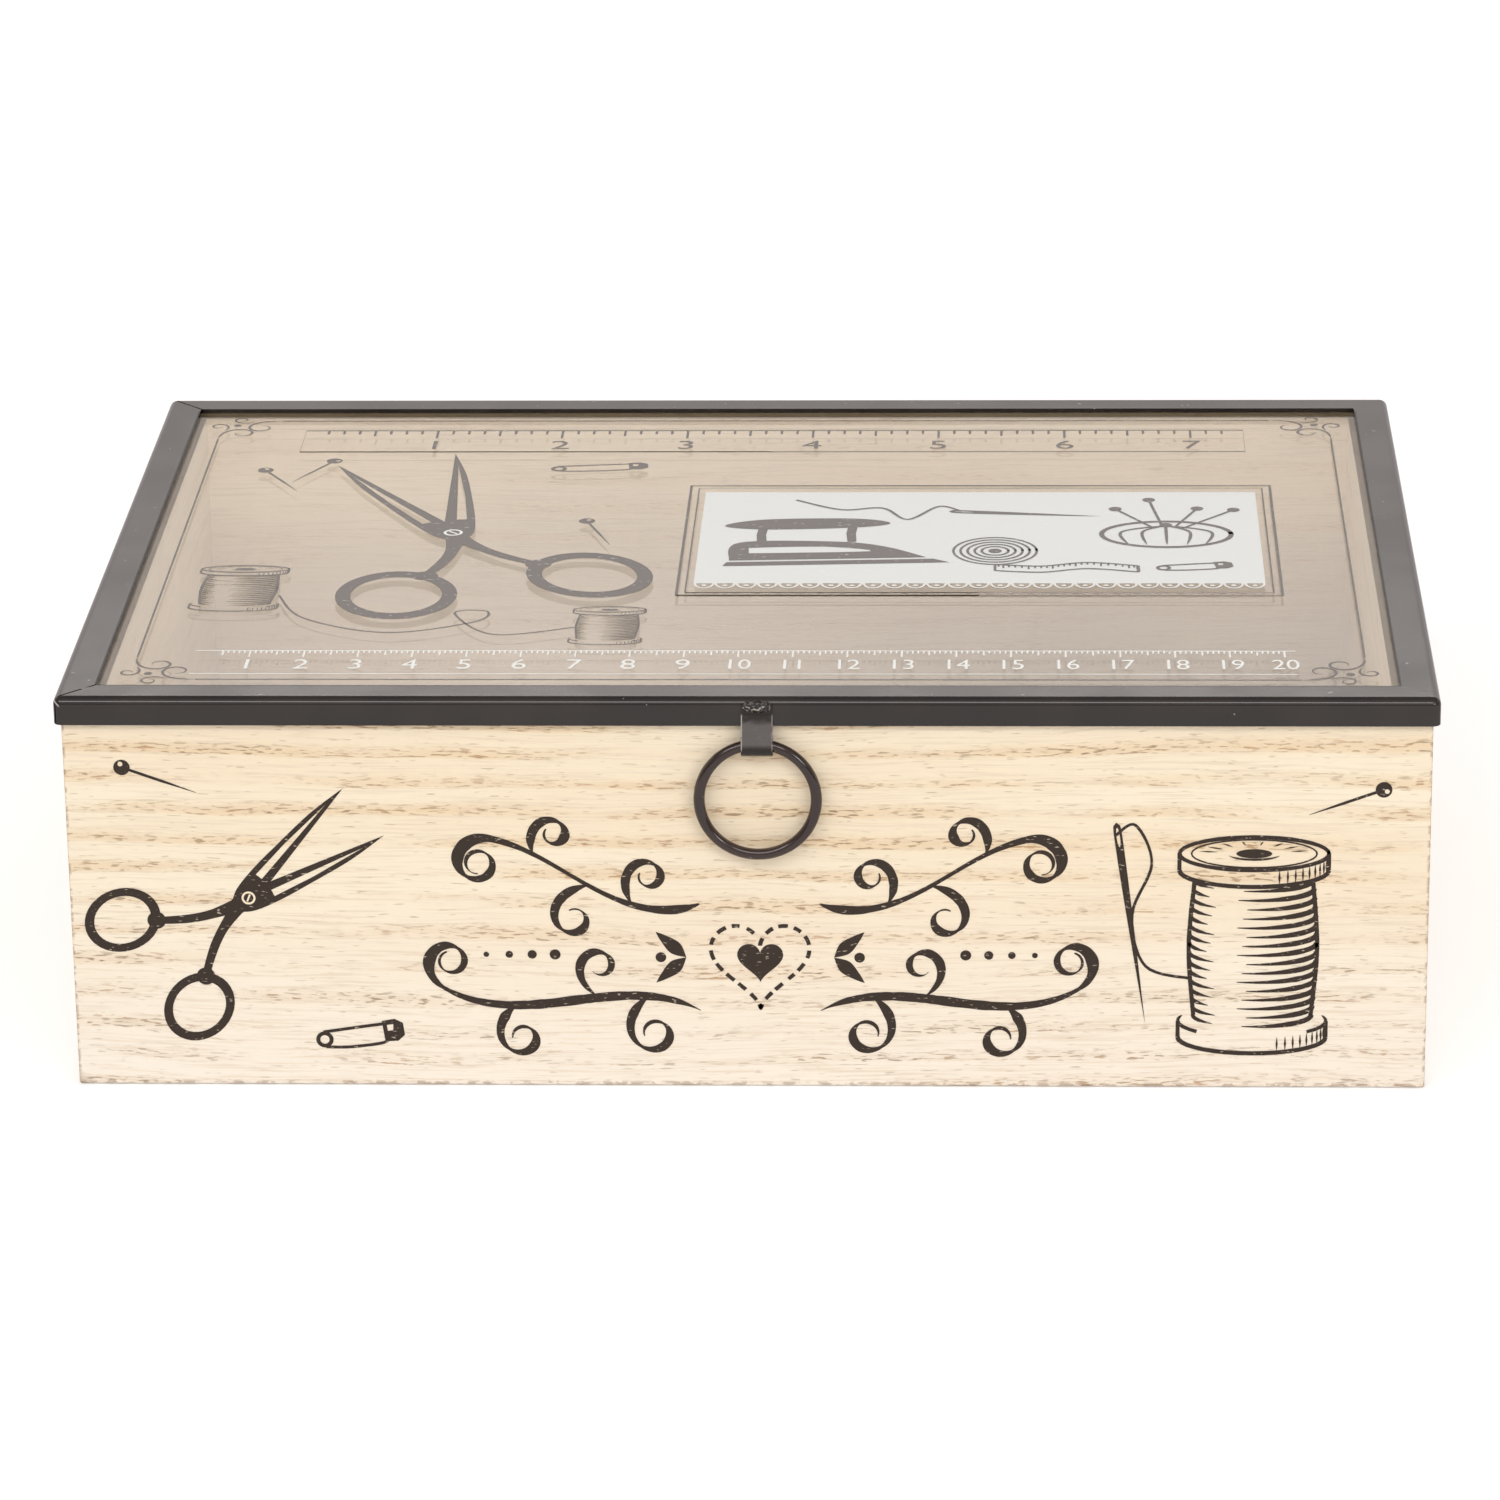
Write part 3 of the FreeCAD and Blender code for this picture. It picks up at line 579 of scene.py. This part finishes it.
class Print:
    """Ink on one flat surface, gathered into one mesh. Each shape lies a hair above the last."""

    def __init__(self):
        self.points = []
        self.levels = []
        self.faces = []
        self.shapes = 0
        self.at(0)

    def at(self, origin, turn=0.0, size=1.0, mirrored=False):
        """Draw what follows in a frame of its own."""
        self.origin = origin
        self.axis = polar(size, turn)
        self.mirrored = mirrored

    def placed(self, point):
        if self.mirrored:
            point = -point.conjugate()
        return self.origin + point * self.axis

    def add(self, points):
        """Add a shape's points, and return the number of the first."""
        first = len(self.points)
        self.points += [self.placed(point) for point in points]
        self.levels += [self.shapes % SHAPE_LEVELS * SHAPE_LIFT] * (len(self.points) - first)
        self.shapes += 1
        return first

    def face(self, corners):
        """Add a face, the right way round whatever frame it was drawn in."""
        area = sum((self.points[a].conjugate() * self.points[b]).imag
                   for a, b in zip(corners, corners[1:] + corners[:1]))
        self.faces.append(corners if area > 0 else corners[::-1])

    def fill(self, *loops):
        """A filled outline, with any holes after it."""
        first = self.add([point for loop in loops for point in loop])
        flat = [[Vector((p.real, p.imag, 0)) for p in loop] for loop in loops]
        for triangle in tessellate_polygon(flat):
            self.face([first + i for i in triangle])

    def stroke(self, path, width, start=0.0, end=0.0, nib=None):
        """A line of ink. It tapers over shares of its length, and a nib is a broad pen's angle."""
        edges = []
        last = len(path) - 1
        for i, point in enumerate(path):
            along = path[min(i + 1, last)] - path[max(i - 1, 0)]
            along /= abs(along) or 1.0
            share = i / last
            wide = width * (1 + 0.12 * noise.noise((point.real * 0.7, point.imag * 0.7, width)))
            if start:
                wide *= min(1.0, 0.15 + share / start)
            if end:
                wide *= min(1.0, 0.15 + (1 - share) / end)
            if nib is not None:
                wide *= 0.28 + 0.72 * abs((along / polar(1, nib)).imag)
            side = along * 1j * wide / 2
            edges += [point + side, point - side]
        first = self.add(edges)
        for k in range(first, first + 2 * last, 2):
            self.face([k, k + 1, k + 3, k + 2])

    def loop(self, path, width):
        """A closed line of even width."""
        self.stroke(path + path[:2], width)

    def dashes(self, path, width, dash, gap):
        """A running stitch along a line."""
        travelled = 0.0
        piece = [path[0]]
        for before, after in zip(path, path[1:]):
            travelled += abs(after - before)
            if travelled % (dash + gap) < dash:
                piece.append(after)
            else:
                if len(piece) > 1:
                    self.stroke(piece, width)
                piece = [after]

    def disc(self, middle, radius, squash=1.0):
        self.fill(arc(middle, radius, 0, 350, squash))

    def ring(self, middle, radius, hole, squash=1.0):
        self.fill(arc(middle, radius, 0, 350, squash), arc(middle, hole, 0, 350, squash))

    def words(self, text, middle, height, stretch=1.0):
        """Plain numerals, centred on a point."""
        curve = bpy.data.curves.new("numerals", "FONT")
        curve.body = text
        curve.size = height * 1.4
        curve.align_x = "CENTER"
        curve.align_y = "CENTER"
        thing = bpy.data.objects.new("numerals", curve)
        mesh = bpy.data.meshes.new_from_object(thing)
        first = self.add([middle + complex(v.co.x * stretch, v.co.y) for v in mesh.vertices])
        for polygon in mesh.polygons:
            self.face([first + i for i in polygon.vertices])
        bpy.data.objects.remove(thing)
        bpy.data.curves.remove(curve)
        bpy.data.meshes.remove(mesh)

    def lay(self, name, body, where, material):
        """Make the print a piece that moves with a body. where turns a point into a place."""
        mesh = bpy.data.meshes.new(name)
        places = [where(point, level) for point, level in zip(self.points, self.levels)]
        mesh.from_pydata(places, [], self.faces)
        mesh.materials.append(material)
        piece = bpy.data.objects.new(name, mesh)
        bpy.context.scene.collection.objects.link(piece)
        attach(piece, body)


# Sewing things that the prints show, each drawn in a frame of its own

def heart(half):
    """A heart's outline round its middle. It reaches half to either side."""
    sweep = [math.tau * i / 180 for i in range(181)]
    points = []
    for t in sweep:
        height = 13 * math.cos(t) - 5 * math.cos(2 * t) - 2 * math.cos(3 * t) - math.cos(4 * t)
        points.append(half / 16 * complex(16 * math.sin(t) ** 3, height))
    return points


def leaf(length, half):
    """A pointed leaf from the origin along x."""
    upper = smooth([0, complex(length * 0.35, half), complex(length * 0.75, half * 0.55), length])
    lower = [point.conjugate() for point in upper[-2:0:-1]]
    return upper + lower


def scissor_half(ink, blade, bow):
    """Half a pair of scissors, its pivot at the origin and its blade along x."""
    spine = smooth([blade, complex(blade * 0.72, 1.9), complex(blade * 0.4, 2.9), 6 + 3.4j, 3.2j,
                    -3.5 + 1.9j])
    edge = [-3.5 - 1.2j, 2 - 1.5j]
    hollow = [complex(blade * 0.16, 0.5), complex(blade * 0.84, 0.55),
              complex(blade * 0.45, 1.75), complex(blade * 0.16, 2.1)]
    ink.fill(spine + edge, hollow)
    upper = smooth([-3.4 + 1.8j, -8 + 1.1j, -14 - 0.4j, -20.5 - 3.2j])
    lower = smooth([-21.5 - 5.4j, -14.5 - 2.6j, -9 - 1.2j, -3.4 - 1.1j])
    ink.fill(upper + lower)
    middle = -20 - 4j + polar(bow * 0.9, 206)
    ink.ring(middle, bow, bow * 0.75, 0.84)
    ink.disc(-20.3 - 4.1j, 2.0)


def scissors(ink, bare, place, turn, opening, blade, bow, size=1.0):
    """Both halves and the screw that joins them."""
    ink.at(place, turn + opening, size)
    scissor_half(ink, blade, bow)
    ink.at(place, turn - opening + 180, size, mirrored=True)
    scissor_half(ink, blade, bow)
    bare.at(place, turn, size)
    bare.ring(0, 1.5, 1.05)
    bare.stroke([-0.75 - 0.45j, 0.75 + 0.45j], 0.4)


def spool(ink, half, height):
    """A full spool that stands on the origin, seen a little from above."""
    tilt = 0.24
    rim = height * 0.09
    body = half * 0.80
    top = height * 1j
    ink.loop(arc(top, half, 0, 350, tilt), 0.75)
    ink.loop(arc(top, half * 0.84, 0, 350, tilt), 0.3)
    ink.disc(top, half * 0.24, tilt * 1.15)
    ink.stroke(arc(top, half * 0.36, 200, 340, tilt), 0.4, 0.3, 0.3)
    for angle in range(15, 180, 22):
        ray = polar(1, angle)
        inner, outer = (complex(ray.real, ray.imag * tilt) * half * share for share in (0.5, 0.74))
        ink.stroke([top + inner, top + (inner + outer) / 2, top + outer], 0.3, 0.4, 0.4)
    for level in (height - rim, 0.0):
        edge = level * 1j
        ink.stroke(arc(edge, half, 180, 360, tilt), 0.85)
        for side in (-half, half):
            ink.stroke([edge + side, edge + side + rim * 0.5j, edge + side + rim * 1j], 0.75)
        for angle in range(290, 360, 7):
            way = polar(half, angle)
            spot = edge + complex(way.real, way.imag * tilt)
            ink.stroke([spot + rim * 0.1j, spot + rim * 0.5j, spot + rim * 0.92j], 0.42, 0.3, 0.3)
    foot = rim * 1j
    ink.stroke(arc(foot, half, 180, 222, tilt), 0.7)
    ink.stroke(arc(foot, half, 318, 360, tilt), 0.7)
    ink.stroke(arc(foot, half, 0, 20, tilt), 0.6, 0, 0.5)
    ink.stroke(arc(foot, half, 160, 180, tilt), 0.6, 0.5, 0)
    low = rim + half * tilt * 0.35
    high = height - rim - half * tilt * 0.55
    turns = round((high - low) / 1.75)
    for turn in range(turns + 1):
        share = turn / turns
        level = complex(0, low + (high - low) * share)
        reach = body * (1 + 0.07 * math.sin(math.pi * share))
        shine = 244 + 5 * math.sin(turn * 2.1)
        ink.stroke(arc(level, reach, 178, shine - 16, tilt * 0.9), 0.75, 0, 0.5)
        ink.stroke(arc(level, reach, shine + 16, 362, tilt * 0.9), 1.0, 0.55, 0)
    for side in (-body, body):
        ink.stroke(smooth([complex(side * 0.99, low), complex(side * 1.08, (low + high) / 2),
                           complex(side * 0.99, high)]), 0.8)


def needle(ink, length, half=0.75):
    """A needle along x, its eye at the origin."""
    outline = ([0] + smooth([0.6 + half * 0.8j, 3 + half * 1j, length * 0.4 + half * 0.8j, length])
               + smooth([length, length * 0.4 - half * 0.8j, 3 - half * 1j, 0.6 - half * 0.8j])[1:])
    ink.fill(outline, arc(2.9, 1.9, 0, 350, 0.16))


def ball_pin(ink, length, ball):
    ink.stroke([0, length / 2, length], 0.55, 0, 0.3)
    ink.fill(arc(-ball * 0.8, ball, 0, 350), arc(-ball * 1.1 + ball * 0.35j, ball * 0.3, 0, 350))


def safety_pin(ink, length):
    """A closed safety pin along x, its coil at the origin."""
    ink.ring(0, 1.6, 0.85)
    ink.stroke([1.5j, length / 2 + 1.6j, length - 3 + 1.6j], 0.6)
    ink.stroke(smooth([-1.5j, length * 0.3 - 2.1j, length * 0.7 - 2.1j, length - 3 - 1.2j]), 0.6)
    head = [length - 4 + 2.2j, length - 1.6 + 2.3j, length - 0.2 + 1.3j, length - 0.2 - 1.1j,
            length - 1.6 - 2.1j, length - 4 - 1.9j]
    ink.fill(head, [length - 3.2 + 1.3j, length - 2 + 1.3j, length - 2.2 + 0.1j, length - 3.2 + 0.1j])


def scroll(ink, start, heading, stem_shape, end_shape, width, nib, shoots=()):
    """A bending stem that rolls up at its end, with shoots at shares of its length."""
    stem = curl(start, heading, *stem_shape)
    ink.stroke(stem, width, 0.12, 0.0, nib)
    way = math.degrees(cmath.phase(stem[-1] - stem[-2]))
    ink.stroke(curl(stem[-1], way, *end_shape), width, 0.0, 0.85, nib)
    for share, off, length, first_bend, last_bend in shoots:
        i = round(share * (len(stem) - 1))
        way = math.degrees(cmath.phase(stem[i + 1] - stem[i]))
        shoot = curl(stem[i], way + off, length, first_bend, last_bend)
        ink.stroke(shoot, width * 0.75, 0.15, 0.35, nib)


def leaves(ink, middle, turn, length):
    """Two small leaves and a bud, spreading from a point."""
    for off in (-42, 42):
        ink.fill([middle + point * polar(1, turn + off) for point in leaf(length, length * 0.17)])
    ink.disc(middle + polar(length * 0.62, turn), length * 0.13)


def tape(ink, radius):
    """A rolled tape measure, its loose end running along x."""
    for turn in range(5):
        ink.loop(arc(0, radius * (1 - 0.17 * turn), 0, 350), 0.5)
    ink.disc(0, radius * 0.16)
    upper = smooth([complex(0, -radius), complex(radius * 1.1, -radius * 1.12),
                    complex(radius * 2.2, -radius * 0.86), complex(radius * 3.4, -radius * 1.1)])
    ink.stroke(upper, 0.5)
    ink.stroke([point - 3.6j for point in upper], 0.5)
    ink.stroke([upper[0], upper[0] - 1.8j, upper[0] - 3.6j], 0.5)
    ink.stroke([upper[-1], upper[-1] - 1.8j, upper[-1] - 3.6j], 0.7)
    for k, point in enumerate(upper[1:-1]):
        ink.stroke([point, point - 0.7j, point - (1.9j if k % 4 == 1 else 1.2j)], 0.35)


def flat_iron(ink, length):
    """An old flat iron seen from the side, its point towards +x."""
    sole = [0, length * 0.62, length, complex(length * 0.93, 1.6), complex(length * 0.02, 1.6)]
    ink.fill(sole)
    body = smooth([complex(length * 0.03, 2.3), complex(length * 0.9, 2.3)], steps=2)
    crown = smooth([complex(length * 0.9, 2.3), complex(length * 0.72, 7.2), complex(length * 0.5, 9.6),
                    complex(length * 0.08, 9.8), complex(length * 0.03, 2.3)])
    slit = smooth([complex(length * 0.12, 7.6), complex(length * 0.46, 7.6), complex(length * 0.66, 5.2),
                   complex(length * 0.12, 5.2)], steps=3)
    ink.fill(body + crown[1:-1], slit)
    for foot in (0.18, 0.58):
        ink.stroke([complex(length * foot, 9.4), complex(length * foot, 13),
                    complex(length * foot + 0.4, 16.4)], 1.3)
    grip = ((0.02, 17.2), (0.2, 15.4), (0.6, 15.6), (0.76, 17.2), (0.6, 19.4), (0.2, 19.6))
    ink.fill(smooth([complex(length * share, height) for share, height in grip], closed=True))


def pincushion(ink, radius):
    """A round stuffed cushion with its pins."""
    ink.loop(arc(0, radius, 0, 350, 0.62), 0.8)
    for off in (-0.95, -0.5, 0.0, 0.5, 0.95):
        ink.stroke(smooth([complex(0, radius * 0.42), complex(off * radius * 0.72, radius * 0.12),
                           complex(off * radius * 0.62, -radius * 0.5)]), 0.5, 0.2, 0.3)
    ink.disc(complex(0, radius * 0.44), radius * 0.1)
    for turn, long in ((122, 1.1), (98, 1.35), (68, 1.0), (48, 1.25)):
        foot = polar(radius * 0.35, turn)
        tip = foot + polar(radius * long, turn)
        ink.stroke([foot, (foot + tip) / 2, tip], 0.45)
        ink.disc(tip, 1.0)


# The front: scissors, scrolls round a stitched heart, and a spool with its needle

INK_LIFT = 0.00005
HEART_MIDDLE = PULL_MIDDLE / MILLIMETRE
front_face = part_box("front_panel")[0].y
glass_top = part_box("lid_glass")[1].z


def on_front(layer):
    """Where a point of a print lies on the front wall, for ink of that layer."""
    def where(point, level):
        out = front_face - layer * INK_LIFT - level
        return Vector((point.real * MILLIMETRE, out, point.imag * MILLIMETRE))
    return where


def on_lid(layer):
    """Where a point of a print lies on the pane, for ink of that layer."""
    def where(point, level):
        height = glass_top + layer * INK_LIFT + level
        return Vector((point.real * MILLIMETRE, point.imag * MILLIMETRE, height))
    return where


# The angle at which the scrollwork's broad pen is held
NIB = 35


def flourish(ink):
    """Half of the scrollwork, from the middle line towards +x."""
    scroll(ink, 11 + 15j, 30, (48, -3.2, 3.3), (26, 8.0, 30.0), 2.4, NIB,
           ((0.20, -42, 27, -4.0, -28.0), (0.40, 40, 21, 4.0, 32.0), (0.72, -38, 24, -5.0, -30.0)))
    scroll(ink, 11 + 36j, -24, (41, 4.4, -2.6), (30, -9.0, -28.0), 2.4, NIB,
           ((0.30, 42, 22, 4.0, 34.0), (0.52, -44, 23, -3.0, -30.0), (0.80, 44, 20, 6.0, 36.0)))
    leaves(ink, 13.5 + 25.5j, 0, 7.5)
    for k in range(4):
        ink.disc(complex(37.5 + 4.2 * k, 26), 1.0 - 0.16 * k)


def front_print(ink, bare):
    scissors(ink, bare, -91 + 37j, 38, 12, 33, 8.5, 0.85)
    ink.at(92 + 10j)
    spool(ink, 13.5, 36)
    ink.at(67 + 52j, -82)
    needle(ink, 40)
    ink.at(0)
    ink.stroke(smooth([66.9 + 49.5j, 70.5 + 51.5j, 73.5 + 44j, 70 + 34j, 72.5 + 24j, 81 + 21.5j]), 0.55)
    ink.at(HEART_MIDDLE + 25j)
    ink.dashes(heart(9.0), 0.75, 1.7, 1.1)
    ink.fill(heart(4.2))
    for mirrored in (False, True):
        ink.at(HEART_MIDDLE, mirrored=mirrored)
        flourish(ink)
    ink.at(-78 + 9j, 8)
    safety_pin(ink, 15)
    ink.at(114 + 58j, 200)
    ball_pin(ink, 13, 1.5)
    ink.at(-112 + 62j, -20)
    ball_pin(ink, 13, 1.5)


# The lid: a border, two rulers with plain numerals, shears and a framed label

BORDER_HALF_WIDTH = 112.5
BORDER_HALF_DEPTH = 77.5
CORNER_GAP = 12
CORNER_SIZE = 0.6
INCH = 25.4
EIGHTHS = 58
MILLIMETRES = 200


def lid_border(ink):
    for sign in (-1, 1):
        reach = BORDER_HALF_WIDTH - CORNER_GAP
        ink.at(0)
        ink.stroke([complex(x, sign * BORDER_HALF_DEPTH) for x in (-reach, 0, reach)], 0.5)
        reach = BORDER_HALF_DEPTH - CORNER_GAP
        ink.stroke([complex(sign * BORDER_HALF_WIDTH, y) for y in (-reach, 0, reach)], 0.4)
    corners = [complex(x * BORDER_HALF_WIDTH, y * BORDER_HALF_DEPTH)
               for x, y in ((-1, -1), (1, -1), (1, 1), (-1, 1))]
    for quarter, corner in enumerate(corners):
        for mirrored in (False, True):
            ink.at(corner, 90 * quarter - (90 if mirrored else 0), CORNER_SIZE, mirrored)
            ink.stroke(curl(CORNER_GAP / CORNER_SIZE, 180, 30, -1.0, -24.0), 0.9, 0.2, 0.3)
            ink.stroke(curl(11 + 1j, 150, 18, 4.0, 40.0), 0.8, 0.2, 0.3)
        ink.disc(5 + 5j, 1.3)


def lid_print_dark(ink, bare):
    lid_border(ink)
    ink.at(0)
    low, high, half = 57, 71, 95
    outline = ((-half, low), (0, low), (half, low), (half, high), (0, high), (-half, high))
    ink.loop([complex(x, y) for x, y in outline], 0.5)
    for eighth in range(1, EIGHTHS + 1):
        x = -half + 1.5 + eighth * INCH / 8
        long = {0: 5.0, 4: 3.6}.get(eighth % 8, 2.4)
        ink.stroke([complex(x, high), complex(x, high - long / 2), complex(x, high - long)], 0.5)
    for number in range(1, 8):
        ink.words(str(number), complex(-half + 1.5 + number * INCH, low + 4.2), 5.4, 1.1)
    scissors(ink, bare, -60 + 6j, 108, 14, 40, 11, 1.25)
    ink.at(-98 - 38j, 0, 0.62)
    spool(ink, 13.5, 36)
    ink.at(-27 - 57j, 0, 0.5)
    spool(ink, 13.5, 36)
    ink.at(-42 + 46j, 6)
    safety_pin(ink, 18)
    for place, turn in ((-100 + 44j, -60), (-88 + 50j, -118), (-34 + 12j, -70)):
        ink.at(place, turn)
        ball_pin(ink, 14, 1.6)
    ink.at(0)
    ink.stroke(smooth([-90 - 31j, -84 - 44j, -68 - 52j, -52 - 46j, -50 - 40j, -56 - 41j, -48 - 53j,
                       -33 - 49j]), 0.5)


def white_ruler(ink):
    ink.at(0)
    top, first = -62, -102
    ends = (first, 0, first + MILLIMETRES + 2)
    ink.stroke([complex(x, top) for x in ends], 0.4)
    ink.stroke([complex(x, top - 12.5) for x in ends], 0.35)
    for step in range(5, MILLIMETRES + 1):
        x = first + step
        long = {0: 3.4, 5: 2.4}.get(step % 10, 1.4)
        ink.stroke([complex(x, top), complex(x, top - long / 2), complex(x, top - long)], 0.32)
    for number in range(1, 21):
        stretch = 0.85 if number < 10 else 0.72
        ink.words(str(number), complex(first + 10 * number, top - 7.6), 5.2, stretch)


LABEL_MIDDLE = complex(42, 2)
LABEL_HALF = complex(57, 33)


def label_frame(white, ink):
    """The white panel with its scalloped foot, and a fine double line round it."""
    half_width, half_depth = LABEL_HALF.real, LABEL_HALF.imag
    white.at(LABEL_MIDDLE)
    side, top, foot = half_width - 3.0, half_depth - 4.0, 7.0 - half_depth
    white.fill([complex(-side, foot), complex(side, foot), complex(side, top), complex(-side, top)])
    scallops = 27
    pitch = 2 * side / scallops
    for k in range(scallops):
        x = -side + pitch * (k + 0.5)
        white.stroke(arc(complex(x, foot), pitch * 0.44, 180, 360, 1.5), 0.5)
        white.disc(complex(x, foot - 1.1), 0.5)
    ink.at(LABEL_MIDDLE)
    for grow, width in ((0.0, 0.7), (-1.6, 0.4)):
        w, d = half_width + grow, half_depth + grow
        outline = ((-w, -d), (0, -d), (w, -d), (w, d), (0, d), (-w, d))
        ink.loop([complex(x, y) for x, y in outline], width)


def label_print(ink):
    ink.at(LABEL_MIDDLE - 49 - 16j, 3, 1.4)
    flat_iron(ink, 31)
    ink.at(LABEL_MIDDLE + 36 + 3j, 0, 1.25)
    pincushion(ink, 10)
    ink.at(LABEL_MIDDLE + 3 - 7j, 0, 1.0)
    tape(ink, 8)
    ink.at(LABEL_MIDDLE - 6 + 17j, -6)
    needle(ink, 30, 0.9)
    ink.at(LABEL_MIDDLE + 35 - 17j, 8, 0.9)
    safety_pin(ink, 15)
    ink.at(LABEL_MIDDLE)
    ink.stroke(smooth([-3.6 + 17j, -8 + 20j, -14 + 12j, -19 + 19j, -27 + 18j, -36 + 24j]), 0.6)


def stamp_ink(name, tone, bare, amount=0.5, roughness=0.6):
    """Stamped ink, in which the surface shows through as small specks."""
    shader = Shader(name)
    grain = shader.noise(shader.where, (700, 900, 2600), 2.0)
    specks = shader.step(grain, 0.63, 0.72, 0.0, amount)
    shader.give(shader.surface, "Base Color", shader.mix(specks, tone, bare))
    shader.give(shader.surface, "Roughness", roughness)
    shader.give(shader.surface, "Specular IOR Level", 0.3)
    return shader.material


GLASS_INK_ROUGHNESS = 0.35


def glass_ink(name, tone, bare, amount=0.5):
    """Ink on the pane, glossier than on the wood."""
    return stamp_ink(name, tone, bare, amount, GLASS_INK_ROUGHNESS)


WOOD_INK = colour(58, 47, 40)
GLASS_INK = colour(92, 84, 78)
GLASS_WHITE = colour(236, 238, 234)
LABEL_WHITE = colour(226, 229, 226)

front, front_lights = Print(), Print()
front_print(front, front_lights)
front.lay("front_print", "box", on_front(1), stamp_ink("front_ink", WOOD_INK, WARM))
front_lights.lay("front_print_lights", "box", on_front(2), stamp_ink("front_lights", WARM, CREAM))

dark, dark_lights = Print(), Print()
lid_print_dark(dark, dark_lights)
dark.lay("lid_print_dark", "lid", on_lid(1), glass_ink("lid_dark_ink", GLASS_INK, LABEL_WHITE, 0.3))
dark_lights.lay("lid_print_lights", "lid", on_lid(2), glass_ink("lid_lights", GLASS_WHITE, LABEL_WHITE))

white = Print()
white_ruler(white)
white.lay("lid_print_white", "lid", on_lid(1), glass_ink("lid_white_ink", GLASS_WHITE, LABEL_WHITE))

label, label_ink = Print(), Print()
label_frame(label, label_ink)
label_print(label_ink)
label.lay("lid_print_label", "lid", on_lid(1), glass_ink("lid_label_white", LABEL_WHITE, GLASS_WHITE))
ink_look = glass_ink("lid_label_ink", GLASS_INK, LABEL_WHITE, 0.3)
label_ink.lay("lid_print_label_ink", "lid", on_lid(2), ink_look)


# Studio: a white floor, a pale room and soft lamps

FLOOR_HALF = 4.0
FLOOR_GAP = 0.0002
FLOOR_LIFT = 0.3
FLOOR_PALE = colour(240, 240, 240)
FLOOR_WHITE = colour(243, 243, 243)

# Room levels: for light that bounces, overhead, near the horizon, and towards the camera.
# Each height is where a direction's z ends one level and begins the next.
ROOM_LEVEL = 0.5
ROOM_TOP = 0.05
ROOM_TOP_HEIGHT = (0.46, 0.60)
ROOM_LOW = (0.92, 1.28)
ROOM_LOW_HEIGHT = (0.28, 0.36)
ROOM_FRONT = 0.4
ROOM_TINT = (1.0, 0.93, 0.90, 1.0)

# Name, place, width, height and power of each soft box, and where they all aim
LAMPS = (
    ("key", (-0.22, -1.3, 1.25), 2.2, 0.34, 9.8),
    ("fill", (-0.15, -1.55, 0.85), 2.0, 0.9, 2.4),
    ("top", (0.0, 0.0, 1.7), 4.4, 3.8, 13.0),
    ("spark", (0.84, -1.12, 0.5), 0.32, 0.32, 1.9),
    ("back", (0.0, 1.5, 0.85), 1.4, 0.2, 2.5),
)
LAMP_AIM = Vector((0, 0, 0.04))


def add_floor():
    shader = Shader("floor_white")
    shade = shader.noise(shader.where, (3, 3, 3), 1.0)
    shader.give(shader.surface, "Base Color", shader.mix(shade, FLOOR_PALE, FLOOR_WHITE))
    shader.give(shader.surface, "Roughness", 0.9)
    shader.give(shader.surface, "Specular IOR Level", 0.1)
    path = shader.nodes.new("ShaderNodeLightPath")
    seen = shader.maths("MAXIMUM", path.outputs["Is Camera Ray"], path.outputs["Is Transmission Ray"])
    shader.give(shader.surface, "Emission Color", (1.0, 1.0, 1.0, 1.0))
    shader.give(shader.surface, "Emission Strength", shader.maths("MULTIPLY", seen, FLOOR_LIFT))
    mesh = bpy.data.meshes.new("floor")
    corners = [(-FLOOR_HALF, -FLOOR_HALF), (FLOOR_HALF, -FLOOR_HALF),
               (FLOOR_HALF, FLOOR_HALF), (-FLOOR_HALF, FLOOR_HALF)]
    mesh.from_pydata([(x, y, -FLOOR_GAP) for x, y in corners], [], [(0, 1, 2, 3)])
    mesh.materials.append(shader.material)
    floor = bpy.data.objects.new("floor", mesh)
    bpy.context.scene.collection.objects.link(floor)


def add_room():
    """White near the horizon, dark overhead, and dim towards the camera, as glossy faces see it."""
    world = bpy.data.worlds.new("room")
    bpy.context.scene.world = world
    world.use_nodes = True
    room = Nodes(world.node_tree)
    background = room.nodes["Background"]
    path = room.nodes.new("ShaderNodeLightPath")
    place = room.nodes.new("ShaderNodeTexCoord")
    _, y, z = room.split(place.outputs["Generated"])
    level = room.step(z, *ROOM_LOW_HEIGHT, *ROOM_LOW)
    level = room.maths("MULTIPLY", level, room.step(z, *ROOM_TOP_HEIGHT, 1.0, ROOM_TOP))
    level = room.mix(room.step(y, -0.3, 0.1), (ROOM_FRONT, ROOM_FRONT, ROOM_FRONT, 1.0), level)
    bounced = room.maths("MINIMUM", path.outputs["Diffuse Depth"], 1.0)
    level = room.maths("ADD", room.maths("MULTIPLY", level, room.maths("SUBTRACT", 1.0, bounced)),
                       room.maths("MULTIPLY", bounced, ROOM_LEVEL))
    seen = path.outputs["Is Camera Ray"]
    room.give(background, "Strength", room.maths("MAXIMUM", seen, level))
    room.give(background, "Color", room.mix(seen, ROOM_TINT, (1.0, 1.0, 1.0, 1.0)))


def add_lamp(name, place, width, height, power):
    """A soft box aimed at the object."""
    lamp = bpy.data.lights.new(name, "AREA")
    lamp.shape = "RECTANGLE"
    lamp.size = width
    lamp.size_y = height
    lamp.energy = power
    thing = bpy.data.objects.new(name, lamp)
    thing.location = place
    aim = LAMP_AIM - Vector(place)
    thing.rotation_euler = aim.to_track_quat("-Z", "Y").to_euler()
    bpy.context.scene.collection.objects.link(thing)


add_floor()
add_room()
for lamp in LAMPS:
    add_lamp(*lamp)

bpy.context.scene.view_settings.view_transform = "Standard"
